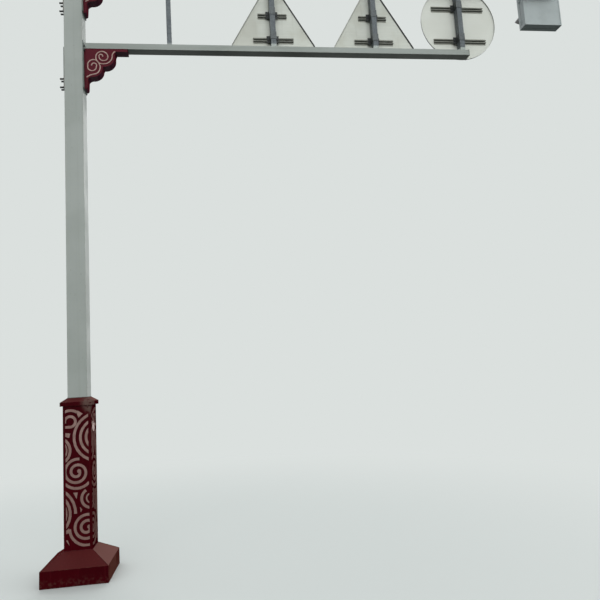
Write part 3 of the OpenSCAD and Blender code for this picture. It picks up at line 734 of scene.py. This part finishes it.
shell = moulded("grey_shell", shade(186, 195, 195), shade(168, 177, 177),
                shade(134, 143, 145), shade(156, 170, 174))
hood_shell = moulded("black_hood", shade(30, 32, 34), shade(46, 48, 48),
                     shade(16, 18, 20), shade(8, 9, 11))
red_glass = lens_glass("red_lens_glass", shade(150, 18, 15))
amber_glass = lens_glass("amber_lens_glass", shade(178, 108, 14))
green_glass = lens_glass("green_lens_glass", shade(10, 108, 80))
print("shell, hood and three lenses")

# %% [markdown]
# ## Which node wears what
#
# A CAD node keeps its mesh and its place, and only its material slots are filled again.
# The names could be matched by their endings, which is shorter but hides what is missing.
# A line for each finish is easy to read and to change: move a name to another line, and
# that piece is painted otherwise.

# %% Dress the CAD nodes
wardrobe = [
    (white, "pole pole_cap lower_arm lower_arm_end upper_arm upper_arm_end"),
    (plate, "lower_flange upper_flange lower_back_plate upper_back_plate"),
    (maroon, "plinth_box plinth_hip pedestal_column pedestal_cap lower_bracket upper_bracket"),
    (rose, "scrollwork_front scrollwork_right scrollwork_back scrollwork_left"),
    (rose, "lower_bracket_scrolls upper_bracket_scrolls"),
    (zinc, "tie_post first_sign_post second_sign_post round_sign_post head_saddle"),
    (clamp_zinc, "first_sign_clamps second_sign_clamps round_sign_clamps"),
    (rail_zinc, "first_sign_rails second_sign_rails round_sign_rails"),
    (sheet, "first_sign second_sign round_sign"),
    (steel, "base_plate lower_studs upper_studs"),
    (shell, "head_housing head_doors"),
    (hood_shell, "head_hoods"),
    (red_glass, "red_lens"),
    (amber_glass, "amber_lens"),
    (green_glass, "green_lens"),
]
dressed = [(name, material) for material, names in wardrobe for name in names.split()]
for name, material in dressed:
    for slot in nodes[name].material_slots:
        slot.material = material
print(len(dressed), "nodes dressed of", len(nodes))

# %% [markdown]
# ## Small pieces in mesh code
#
# A drawing leaves out what is added at the end: weld beads, washers, seals and hinges.
# They are what the eye looks for close up. They could be put together by hand from cubes
# and cylinders. Built vertex by vertex with bmesh, each takes its place from the box of
# the CAD node that carries it. Most are skins: rings of points joined one to the next.

# %% Pieces and skins
def piece(name, bm, material, smooth_degrees=35):
    """Turns a bmesh into an object that belongs to the gantry."""
    bmesh.ops.recalc_face_normals(bm, faces=bm.faces)
    mesh = bpy.data.meshes.new(name)
    bm.to_mesh(mesh)
    bm.free()
    mesh.materials.append(material)
    mesh.shade_smooth()
    mesh.set_sharp_from_angle(angle=math.radians(smooth_degrees))
    made = bpy.data.objects.new(name, mesh)
    bpy.context.scene.collection.objects.link(made)
    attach(made, "root")
    print(name, len(mesh.polygons), "faces")


def skin(bm, rings, closed=False):
    """Joins rings of points, all with one count, into a tube, and closes its ends."""
    rows = [[bm.verts.new(p) for p in ring] for ring in rings]
    pairs = list(zip(rows, rows[1:])) + ([(rows[-1], rows[0])] if closed else [])
    for low, high in pairs:
        for i in range(len(low)):
            j = (i + 1) % len(low)
            bm.faces.new((low[i], low[j], high[j], high[i]))
    if not closed:
        bm.faces.new(rows[0][::-1])
        bm.faces.new(rows[-1])


def spokes(direction, count):
    """Unit vectors square to a direction and evenly spread round it."""
    ahead = Vector(direction).normalized()
    helper = Vector((0, 0, 1)) if abs(ahead.z) < 0.9 else Vector((1, 0, 0))
    first = ahead.cross(helper).normalized()
    second = ahead.cross(first)
    angles = [2 * math.pi * i / count for i in range(count)]
    return [first * math.cos(a) + second * math.sin(a) for a in angles]


print("pieces and skins ready")

# %% [markdown]
# ## Turned bodies, rings and bricks
#
# Three shapes make most of the small hardware: a profile turned round an axis, a flat
# ring, and a block with its long edges taken off. Scaled cylinders and cubes could stand
# for them, but a profile gives a knob or a dome its true outline with very few faces.

# %% Turned bodies, rings and bricks
def turned(bm, start, axis, profile, count):
    """A turned body: profile is (distance along the axis, radius) pairs from start on."""
    ahead = Vector(axis).normalized()
    around = spokes(ahead, count)
    skin(bm, [[Vector(start) + ahead * d + out * r for out in around] for d, r in profile])


def ring_plate(bm, start, axis, inner, outer, thickness, count):
    """A flat ring, such as a washer or a gasket."""
    ahead = Vector(axis).normalized()
    section = [(0, inner), (0, outer), (thickness, outer), (thickness, inner)]
    around = spokes(ahead, count)
    skin(bm, [[Vector(start) + ahead * d + out * r for d, r in section] for out in around], closed=True)


def brick(bm, low, high, c=0.0005):
    """A small block with a little, c, taken off its long edges."""
    (x0, y0, z0), (x1, y1, z1) = low, high
    flat = [(x0 + c, y0), (x1 - c, y0), (x1, y0 + c), (x1, y1 - c),
            (x1 - c, y1), (x0 + c, y1), (x0, y1 - c), (x0, y0 + c)]
    skin(bm, [[(x, y, z) for x, y in flat] for z in (z0, z1)])


print("three shapes ready")

# %% [markdown]
# ## Weld beads
#
# A hand-laid bead is a row of small overlapping drops. A curve with a round section would
# make an even rod of it. Here it is a six-sided tube whose radius rises and falls every
# few millimetres, and the light breaks on it as it does on the drops.

# %% Weld beads
BEAD_STEP = 0.006


def bead(bm, start, end, radius):
    start, end = Vector(start), Vector(end)
    around = spokes(end - start, 6)
    steps = max(2, round((end - start).length / BEAD_STEP))
    rings = []
    for i in range(steps + 1):
        middle = start.lerp(end, i / steps)
        r = radius * (1 + 0.13 * math.sin(2.1 * i) + 0.07 * math.sin(0.7 * i + 1))
        rings.append([middle + out * r for out in around])
    skin(bm, rings)


def bead_round(bm, corners, radius):
    """Beads from each corner to the next, and back to the first."""
    for a, b in zip(corners, corners[1:] + corners[:1]):
        bead(bm, a, b, radius)


def rectangle(low, high, axis, at):
    """Corners of a box seen along an axis, moved to one place on it."""
    i, j = [k for k in range(3) if k != axis]
    corners = []
    for a, b in ((low[i], low[j]), (high[i], low[j]), (high[i], high[j]), (low[i], high[j])):
        corner = [0.0, 0.0, 0.0]
        corner[axis], corner[i], corner[j] = at, a, b
        corners.append(corner)
    return corners


print("beads ready")

# %% [markdown]
# ## Welds of the arms and their brackets
#
# The arms are welded to their flanges and end plates, and the brackets to arm and flange.
# The beads could be traced along the edges of the meshes. As these joints are straight,
# the corners of each node's box are enough. A bead's number is its radius in metres.

# %% Welds of the arms
X, Z = 0, 2
ROOT_BEAD, FLANGE_BEAD, END_BEAD, BRACKET_BEAD = 0.005, 0.004, 0.0035, 0.003
FLANGE_INSET, END_INSET = 0.006, 0.004


def arm_welds():
    bm = bmesh.new()
    for level in ("lower", "upper"):
        low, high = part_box(f"{level}_arm")
        bead_round(bm, rectangle(low, high, X, low.x), ROOT_BEAD)
        low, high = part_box(f"{level}_flange")
        for z in (low.z, high.z):
            bead(bm, (low.x, low.y + FLANGE_INSET, z), (low.x, high.y - FLANGE_INSET, z), FLANGE_BEAD)
        low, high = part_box(f"{level}_arm_end")
        inset = Vector((0, END_INSET, END_INSET))
        bead_round(bm, rectangle(low + inset, high - inset, X, low.x), END_BEAD)
    piece("arm_welds", bm, white)


def bracket_welds():
    bm = bmesh.new()
    for level in ("lower", "upper"):
        low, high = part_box(f"{level}_bracket")
        for y in (low.y, high.y):
            bead(bm, (low.x, y, high.z), (high.x, y, high.z), BRACKET_BEAD)
            bead(bm, (low.x, y, low.z), (low.x, y, high.z), BRACKET_BEAD)
    piece("bracket_welds", bm, maroon)


arm_welds()
bracket_welds()

# %% [markdown]
# ## Welds of the posts and the pedestal
#
# Each post is welded to both arms, all the way round, and the column to the hip. The
# hip's four sheets meet along its sloping corners. Their beads run from the hip's box to
# the column's, and the maroon is painted over them.

# %% Welds of the posts and the pedestal
POST_BEAD, COLUMN_BEAD, HIP_BEAD = 0.0045, 0.0035, 0.0018


def post_welds():
    bm = bmesh.new()
    for post in ("tie_post", "first_sign_post", "second_sign_post", "round_sign_post"):
        low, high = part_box(post)
        for z in (low.z, high.z):
            bead_round(bm, rectangle(low, high, Z, z), POST_BEAD)
    piece("post_welds", bm, zinc)


def pedestal_welds():
    """Beads round the column's foot and up the hip's four corners."""
    bm = bmesh.new()
    low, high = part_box("pedestal_column")
    bead_round(bm, rectangle(low, high, Z, low.z), COLUMN_BEAD)
    hip_low, hip_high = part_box("plinth_hip")
    for x in (-1, 1):
        for y in (-1, 1):
            corner = Vector((x * hip_high.x, y * hip_high.y, hip_low.z))
            peak = Vector((x * high.x, y * high.y, low.z))
            bead(bm, corner.lerp(peak, 0.03), peak, HIP_BEAD)
    piece("pedestal_welds", bm, maroon)


post_welds()
pedestal_welds()

# %% [markdown]
# ## Washers
#
# Each nut sits on a washer: two rows of studs behind the pole, and four bolts at the top
# of each flange. A plain disc would look the same under a nut, but a ring leaves the stud
# its hole, so that the two do not run through each other. Heights count from the arm's
# underside. A washer's numbers are its bore and outer radius and its thickness.

# %% Washers
STUD_Y = 0.03
BOLT_ROWS = (-0.026, 0.026)
BOLT_Y = 0.076
STUD_WASHER = (0.0102, 0.02, 0.003)
BOLT_WASHER = (0.0082, 0.0145, 0.0025)


def washer_rows(bm, face, outwards, heights, half_width, washer):
    for z in heights:
        for y in (-half_width, half_width):
            ring_plate(bm, (face, y, z), (outwards, 0, 0), *washer, 32)


def stud_washers():
    bm = bmesh.new()
    for level in ("lower", "upper"):
        arm_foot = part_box(f"{level}_arm")[0].z
        plate_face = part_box(f"{level}_back_plate")[0].x
        washer_rows(bm, plate_face, -1, [arm_foot + row for row in STUD_ROWS], STUD_Y, STUD_WASHER)
        flange_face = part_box(f"{level}_flange")[1].x
        washer_rows(bm, flange_face, 1, [arm_foot + row for row in BOLT_ROWS], BOLT_Y, BOLT_WASHER)
    piece("stud_washers", bm, rail_zinc)


stud_washers()

# %% [markdown]
# ## Sealant
#
# Where the pole passes through the pedestal's cap, a run of grey sealant keeps the rain
# out. It could be a smooth fillet, but it is pressed on by hand, as a weld is laid. So the
# same bead serves, a little thicker and with a lumpy and dull finish.

# %% Sealant
SEALANT_BEAD = 0.006


def grey_sealant():
    material, tree, shader = finish("grey_sealant", shade(96, 96, 92), 0.7)
    lumps = noise(tree, 120, detail=3)
    coat(shader, shade(66, 60, 56), limits(lumps, 0.45, 0.65))
    relief(shader, [(lumps, 0.0006)])
    return material


def cap_sealant():
    bm = bmesh.new()
    bead_round(bm, rectangle(*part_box("pole"), Z, cap_high.z), SEALANT_BEAD)
    piece("cap_sealant", bm, grey_sealant())


cap_sealant()

# %% [markdown]
# ## Film for the signs' faces
#
# The photograph shows only the backs. The fronts get plain reflective film with the
# border that such shapes carry, and no symbol: a dark edge on yellow for the triangles, a
# red ring on white for the disc. Such film throws light straight back, and its tiny cells
# glint. A metallic finish would be too strong by day, so a pattern of cells under a clear
# coat does it.

# %% Film finishes
def film(name, colour):
    material, tree, shader = finish(name, colour, 0.35, {"Coat Weight": 0.4, "Coat Roughness": 0.1})
    cells = crystals(tree, 330)
    glaze(shader, darker(colour, 0.72), cells, 0.5, 0.95, 0.6)
    glaze(shader, shade(150, 146, 130), noise(tree, 5, detail=5), 0.5, 0.75, 0.35)
    glaze(shader, shade(110, 108, 98), runs(tree, 30, 1.2), 0.6, 0.8, 0.35)
    relief(shader, [(cells, 0.00003)])
    return material


yellow_film = film("yellow_film", shade(214, 168, 30))
black_film = film("black_film", shade(34, 34, 34))
white_film = film("white_film", shade(206, 208, 202))
red_film = film("red_film", shade(164, 26, 30))
print("four films")

# %% [markdown]
# ## Outlines of the film
#
# Both outlines are worked out from the sign's box, so that a border is the room between
# one outline and the same one set further in. A triangle with rounded corners is three
# arcs of a third of a turn each. A bevel modifier could round a sharp triangle too, but
# then border and field would not meet point by point.

# %% Outlines
CORNER = 0.045
SHARPEST_CORNER = 0.012


def round_triangle(low, high, inset, count=10):
    """Outline of an upright triangle that fits the box, set in from its edge: (x, z) points."""
    side = high.x - low.x + 2 * (math.sqrt(3) - 1) * CORNER - 2 * math.sqrt(3) * inset
    middle_x, foot = (low.x + high.x) / 2, low.z + inset
    r = max(CORNER - inset, SHARPEST_CORNER)
    half = side / 2 - math.sqrt(3) * r
    peak = foot + side * math.sqrt(3) / 2 - 2 * r
    arcs = ((middle_x - half, foot + r, 150), (middle_x + half, foot + r, 270), (middle_x, peak, 30))
    points = []
    for x, z, first in arcs:
        for i in range(count + 1):
            a = math.radians(first + 120 * i / count)
            points.append((x + r * math.cos(a), z + r * math.sin(a)))
    return points


def circle_outline(low, high, inset, count=96):
    r = (high.x - low.x) / 2 - inset
    return [((low.x + high.x) / 2 + r * math.cos(2 * math.pi * i / count),
             (low.z + high.z) / 2 + r * math.sin(2 * math.pi * i / count)) for i in range(count)]


print("outlines ready")

# %% [markdown]
# ## Lay the film
#
# The film stops a little inside the sign's edge. One sheet with a mask could show border
# and field. Real film is cut as two pieces of one thickness that meet along the inner
# outline, and the mesh follows the knife.

# %% Lay the film
FILM_THICKNESS = 0.0008
FILM_INSET = 0.006
TRIANGLE_BORDER = 0.07
RING_BORDER = 0.1


def lay_film(name, outer, inner, border, field):
    """A border between two outlines with the same number of points, and the field inside."""
    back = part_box(name)[1].y
    front = back + FILM_THICKNESS
    bm = bmesh.new()
    section = []
    for (ox, oz), (ix, iz) in zip(outer, inner):
        section.append([(ox, back, oz), (ox, front, oz), (ix, front, iz), (ix, back, iz)])
    skin(bm, section, closed=True)
    piece(f"{name}_border", bm, border, 20)
    bm = bmesh.new()
    skin(bm, [[(x, y, z) for x, z in inner] for y in (back, front)])
    piece(f"{name}_field", bm, field, 20)


for sign in ("first_sign", "second_sign"):
    low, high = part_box(sign)
    outer, inner = (round_triangle(low, high, inset) for inset in (FILM_INSET, TRIANGLE_BORDER))
    lay_film(sign, outer, inner, black_film, yellow_film)
low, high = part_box("round_sign")
outer, inner = (circle_outline(low, high, inset) for inset in (FILM_INSET, RING_BORDER))
lay_film("round_sign", outer, inner, red_film, white_film)

# %% [markdown]
# ## Rivets
#
# The rails are riveted to the sheets through their flanges, above and below the channel.
# Only the flat domes show on the signs' faces. A bump in the material could fake them, but
# a dome in the mesh also shows from the side. It is a turned profile of four points.

# %% Rivets
RIVET_DOME = [(0, 0.0055), (0.001, 0.005), (0.002, 0.003), (0.0024, 0.0005)]
RAIL_MIDDLE = 0.04
RIVET_ROW = 0.03
ROW_COUNT = 6
ROW_MARGIN = 0.04
NARROW_RAIL = 0.72


def sign_rivets():
    bm = bmesh.new()
    for sign in ("first_sign", "second_sign", "round_sign"):
        low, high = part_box(f"{sign}_rails")
        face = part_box(sign)[1].y + FILM_THICKNESS
        top_share = 1.0 if sign == "round_sign" else NARROW_RAIL
        for rail_z, share in ((low.z + RAIL_MIDDLE, 1.0), (high.z - RAIL_MIDDLE, top_share)):
            row = (high.x - low.x) * share - ROW_MARGIN
            for z in (rail_z - RIVET_ROW, rail_z + RIVET_ROW):
                for i in range(ROW_COUNT):
                    x = (low.x + high.x) / 2 + (i / (ROW_COUNT - 1) - 0.5) * row
                    turned(bm, (x, face, z), (0, 1, 0), RIVET_DOME, 12)
    piece("sign_rivets", bm, sheet)


sign_rivets()

# %% [markdown]
# ## Where the lamps are
#
# Three lamps share the housing's height evenly. Their heights could be typed in. Worked
# out from the boxes of housing and doors, they place every fitting of the head.

# %% Lamps
head_low, housing_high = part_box("head_housing")
doors_low, head_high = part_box("head_doors")
HEAD_X = (head_low.x + head_high.x) / 2
LAMP_PITCH = (housing_high.z - head_low.z) / 3
LAMPS_Z = [head_low.z + (i + 0.5) * LAMP_PITCH for i in range(3)]
print("lamps at heights of", [round(z, 3) for z in LAMPS_Z])

# %% [markdown]
# ## Seal and gaskets of the signal head
#
# Each lamp door closes on a rubber seal, and a gasket lies round each lens. A dark line in
# the housing's material would do from afar. Rings of rubber have a real thickness, and
# they still look right from the side and close up.

# %% Rubber and gaskets
LAMP_RADIUS = 0.15
HOOD_RADIUS = 0.161
SEAL_DEPTH = 0.006
SEAL_OUTSIDE = 0.0003
SEAL_INSIDE = 0.0015


def black_rubber():
    material, tree, shader = finish("black_rubber", shade(24, 24, 25), 0.75)
    glaze(shader, shade(58, 58, 54), noise(tree, 60, detail=4), 0.5, 0.7, 0.7)
    relief(shader, [(noise(tree, 500, detail=2), 0.00006)])
    return material


def housing_outline(inset, y):
    """The housing's outline at one depth, set in from its sides."""
    left, right = head_low.x + inset, housing_high.x - inset
    foot, top = head_low.z + inset, housing_high.z - inset
    return [(left, y, foot), (right, y, foot), (right, y, top), (left, y, top)]


def head_seal():
    bm = bmesh.new()
    back, front = doors_low.y - SEAL_DEPTH, doors_low.y
    corners = ((SEAL_OUTSIDE, back), (SEAL_OUTSIDE, front), (SEAL_INSIDE, front), (SEAL_INSIDE, back))
    skin(bm, [housing_outline(inset, y) for inset, y in corners], closed=True)
    piece("head_seal", bm, rubber)


def lens_gaskets():
    bm = bmesh.new()
    inner, outer = LAMP_RADIUS + 0.0004, HOOD_RADIUS - 0.0035
    for z in LAMPS_Z:
        ring_plate(bm, (HEAD_X, head_high.y, z), (0, 1, 0), inner, outer, 0.003, 96)
    piece("lens_gaskets", bm, rubber)


rubber = black_rubber()
head_seal()
lens_gaskets()

# %% [markdown]
# ## Hinges
#
# Two hinges carry each door: a leaf on the housing, a leaf on the door, and a barrel of
# three knuckles between them. One cylinder for the barrel would look like a piece of
# pipe, and the gaps between the knuckles make it a hinge. Hinges repeat with the lamps,
# so one loop over the lamps' heights places them all.

# %% Hinges
HINGE_OFF = 0.15
LEAVES = ((-0.034, -0.007), (0.001, 0.028))
LEAF_OUT, LEAF_HALF = 0.002, 0.022
PIN_OUT, PIN_BACK = 0.006, 0.003
KNUCKLE_PITCH = 0.018
KNUCKLE_GAP = 0.0006
KNUCKLE = [(0, 0.0048), (0.0006, 0.0055), (0.0162, 0.0055), (0.0168, 0.0048)]


def hinge(bm, side, joint, z):
    for back, front in LEAVES:
        brick(bm, (side - LEAF_OUT, joint + back, z - LEAF_HALF), (side, joint + front, z + LEAF_HALF))
    for k in range(3):
        start = z + (k - 1.5) * KNUCKLE_PITCH + KNUCKLE_GAP
        turned(bm, (side - PIN_OUT, joint - PIN_BACK, start), (0, 0, 1), KNUCKLE, 20)


def head_hinges():
    bm = bmesh.new()
    for lamp_z in LAMPS_Z:
        for off in (-HINGE_OFF, HINGE_OFF):
            hinge(bm, head_low.x, doors_low.y, lamp_z + off)
    piece("head_hinges", bm, shell)


head_hinges()

# %% [markdown]
# ## Knobs
#
# Two knobs on the side away from the hinges turn the catches of each door. A knob is a
# turned profile with a thin wing across it for the fingers. The two could be joined by a
# boolean. Left as two closed bodies in one mesh, they look the same and stay clean.

# %% Knobs
KNOB_OFF = 0.16
KNOB_INSET = 0.024
KNOB = [(0, 0.013), (0.002, 0.013), (0.0025, 0.007), (0.006, 0.007), (0.0065, 0.011),
        (0.008, 0.012), (0.016, 0.012), (0.018, 0.0105), (0.0185, 0.004)]
WING_LOW = Vector((-0.002, 0.008, -0.019))
WING_HIGH = Vector((0.002, 0.016, 0.019))


def door_knobs():
    bm = bmesh.new()
    for lamp_z in LAMPS_Z:
        for off in (-KNOB_OFF, KNOB_OFF):
            at = Vector((head_high.x - KNOB_INSET, head_high.y, lamp_z + off))
            turned(bm, at, (0, 1, 0), KNOB, 16)
            brick(bm, at + WING_LOW, at + WING_HIGH)
    piece("door_knobs", bm, hood_shell)


door_knobs()

# %% [markdown]
# ## Tabs of the hoods
#
# Four small tabs with a screw in each hold a hood on its door. Each tab could be an object
# of its own, copied and rotated. In one mesh for all of them, a tab is drawn once, as
# points across and outwards, and two unit vectors turn it to its angle.

# %% Tabs and screws
TAB_ANGLES = (35, 145, 215, 325)
TAB = [(-0.011, -0.0005), (0.011, -0.0005), (0.011, 0.014),
       (0.006, 0.02), (-0.006, 0.02), (-0.011, 0.014)]
TAB_THICKNESS = Vector((0, 0.002, 0))
SCREW_OUT = 0.01
SCREW = [(0, 0.0042), (0.0012, 0.0042), (0.0026, 0.003), (0.003, 0.0006)]


def hood_tabs():
    bm = bmesh.new()
    screws = bmesh.new()
    for lamp_z in LAMPS_Z:
        centre = Vector((HEAD_X, head_high.y, lamp_z))
        for angle in map(math.radians, TAB_ANGLES):
            out = Vector((math.cos(angle), 0, math.sin(angle)))
            across = Vector((-out.z, 0, out.x))
            flat = [centre + across * a + out * (HOOD_RADIUS + b) for a, b in TAB]
            skin(bm, [flat, [p + TAB_THICKNESS for p in flat]])
            head_at = centre + out * (HOOD_RADIUS + SCREW_OUT) + TAB_THICKNESS
            turned(screws, head_at, (0, 1, 0), SCREW, 12)
    piece("hood_tabs", bm, hood_shell)
    piece("hood_screws", screws, zinc)


hood_tabs()

# %% [markdown]
# ## Two looks for one surface
#
# Floor and sky have to look pale, and yet not throw so much light that paint and
# undersides wash out. Less light would darken the picture as well. The Light Path node
# tells rays that show a thing from rays that carry light to another, so a surface can
# have one look for each.

# %% Rays that show a thing
def shown_rays(tree):
    """1 for rays that show a thing to the camera, directly, in a reflection or through glass."""
    path = tree.nodes.new("ShaderNodeLightPath")
    total = path.outputs["Is Camera Ray"]
    for kind in ("Is Glossy Ray", "Is Transmission Ray"):
        total = arithmetic("MAXIMUM", total, path.outputs[kind])
    return total


def either_shader(factor, first, second):
    """The first shader where the factor is 0, and the second where it is 1."""
    tree = factor.id_data
    mix = tree.nodes.new("ShaderNodeMixShader")
    tree.links.new(factor, mix.inputs["Fac"])
    tree.links.new(first, mix.inputs[1])
    tree.links.new(second, mix.inputs[2])
    return mix.outputs["Shader"]


print("two looks ready")

# %% [markdown]
# ## Floor
#
# The gantry stands on a plain pale floor. A curved backdrop could hide the horizon, but
# behind a gantry it would be as big as a house. Instead the floor's colour glides into
# that of the background a few metres out, and near the pedestal it keeps the soft shadow.
# For light that bounces, the floor is dimmer, and the undersides stay dark.

# %% Floor
PALE = shade(219, 224, 222)
FADE_FROM, FADE_TO = 2.5, 9.0


def pale_floor():
    bpy.ops.mesh.primitive_circle_add(vertices=96, radius=90, fill_type="TRIFAN")
    floor = bpy.context.object
    floor.name = "floor"
    material, tree, shader = finish("pale_floor", PALE, 0.9, {"Specular IOR Level": 0.1})
    far = tree.nodes.new("ShaderNodeEmission")
    far.inputs["Color"].default_value = PALE
    dim = tree.nodes.new("ShaderNodeBsdfDiffuse")
    dim.inputs["Color"].default_value = shade(84, 86, 82)
    fade = limits(measure("LENGTH", place(tree)), FADE_FROM, FADE_TO)
    seen = either_shader(fade, shader.outputs["BSDF"], far.outputs["Emission"])
    surface = either_shader(shown_rays(tree), dim.outputs["BSDF"], seen)
    tree.links.new(surface, tree.nodes["Material Output"].inputs["Surface"])
    floor.data.materials.append(material)


pale_floor()
print("floor laid")

# %% [markdown]
# ## Sky light
#
# The light is that of a dull day: a sky that is brighter low down, and three suns as wide
# as a bank of cloud. One lights the backs of the signs, one their faces, and a weak one
# comes along the arms from their open end. A photographed sky could do it, but it would
# tint the paint. Wide suns give no hard shadow, and each side has its own number.

# %% Sky light
SUN_WIDTH = 65


def dull_sky():
    world = bpy.data.worlds.new("dull_sky")
    bpy.context.scene.world = world
    world.use_nodes = True
    tree = world.node_tree
    tree.nodes.clear()
    height = part_of(tree, tree.nodes.new("ShaderNodeTexCoord").outputs["Generated"], "Z")
    glow = tree.nodes.new("ShaderNodeBackground")
    glow.inputs["Color"].default_value = shade(236, 240, 240)
    steer(glow, "Strength", limits(height, 0.1, 0.8, 0.95, 0.5))
    plain = tree.nodes.new("ShaderNodeBackground")
    plain.inputs["Color"].default_value = PALE
    output = tree.nodes.new("ShaderNodeOutputWorld")
    sky = either_shader(shown_rays(tree), glow.outputs["Background"], plain.outputs["Background"])
    tree.links.new(sky, output.inputs["Surface"])


def wide_sun(name, towards, strength):
    """Even light from one side of the sky, as through thin cloud."""
    lamp = bpy.data.lights.new(name, "SUN")
    lamp.energy = strength
    lamp.angle = math.radians(SUN_WIDTH)
    sun = bpy.data.objects.new(name, lamp)
    bpy.context.scene.collection.objects.link(sun)
    sun.rotation_euler = Vector(towards).to_track_quat("-Z", "Y").to_euler()


dull_sky()
wide_sun("verge_side", (0.05, 0.96, -0.25), 1.25)
wide_sun("road_side", (0.08, -0.88, -0.4), 1.5)
wide_sun("open_side", (-0.95, 0.1, -0.28), 0.5)
print("sky and three wide suns")

# %% [markdown]
# ## Camera
#
# The camera stands where the photograph was taken from and looks up a little at the arms.
# The photograph is cut off above the lower arm, and so is this view. Place, turn and
# focal length could be set by eye. They were fitted to corners of the pole, the arm and
# the signs instead, so that the two pictures can be laid over each other. The photograph
# is a little askew, which is the roll.

# %% Camera
CAMERA_AT = (1.4998, -6.771, 1.92)
YAW, PITCH, ROLL = (math.radians(a) for a in (8.1195, 7.2955, -3.4644))
FOCAL_PIXELS = 594.9994
IMAGE_PIXELS = 600


def photo_camera():
    ahead = Vector((math.sin(YAW) * math.cos(PITCH), math.cos(YAW) * math.cos(PITCH), math.sin(PITCH)))
    level = Vector((math.cos(YAW), -math.sin(YAW), 0))
    above = level.cross(ahead)
    right = math.cos(ROLL) * level + math.sin(ROLL) * above
    up = -math.sin(ROLL) * level + math.cos(ROLL) * above
    data = bpy.data.cameras.new("photo_camera")
    data.sensor_width = 36
    data.lens = FOCAL_PIXELS / IMAGE_PIXELS * data.sensor_width
    data.clip_end = 300
    camera = bpy.data.objects.new("photo_camera", data)
    bpy.context.scene.collection.objects.link(camera)
    turn = Matrix((right, up, -ahead)).transposed().to_4x4()
    camera.matrix_world = Matrix.Translation(CAMERA_AT) @ turn
    bpy.context.scene.camera = camera
    print("lens of", round(data.lens, 2), "mm")


photo_camera()
bpy.context.scene.view_settings.view_transform = "Standard"
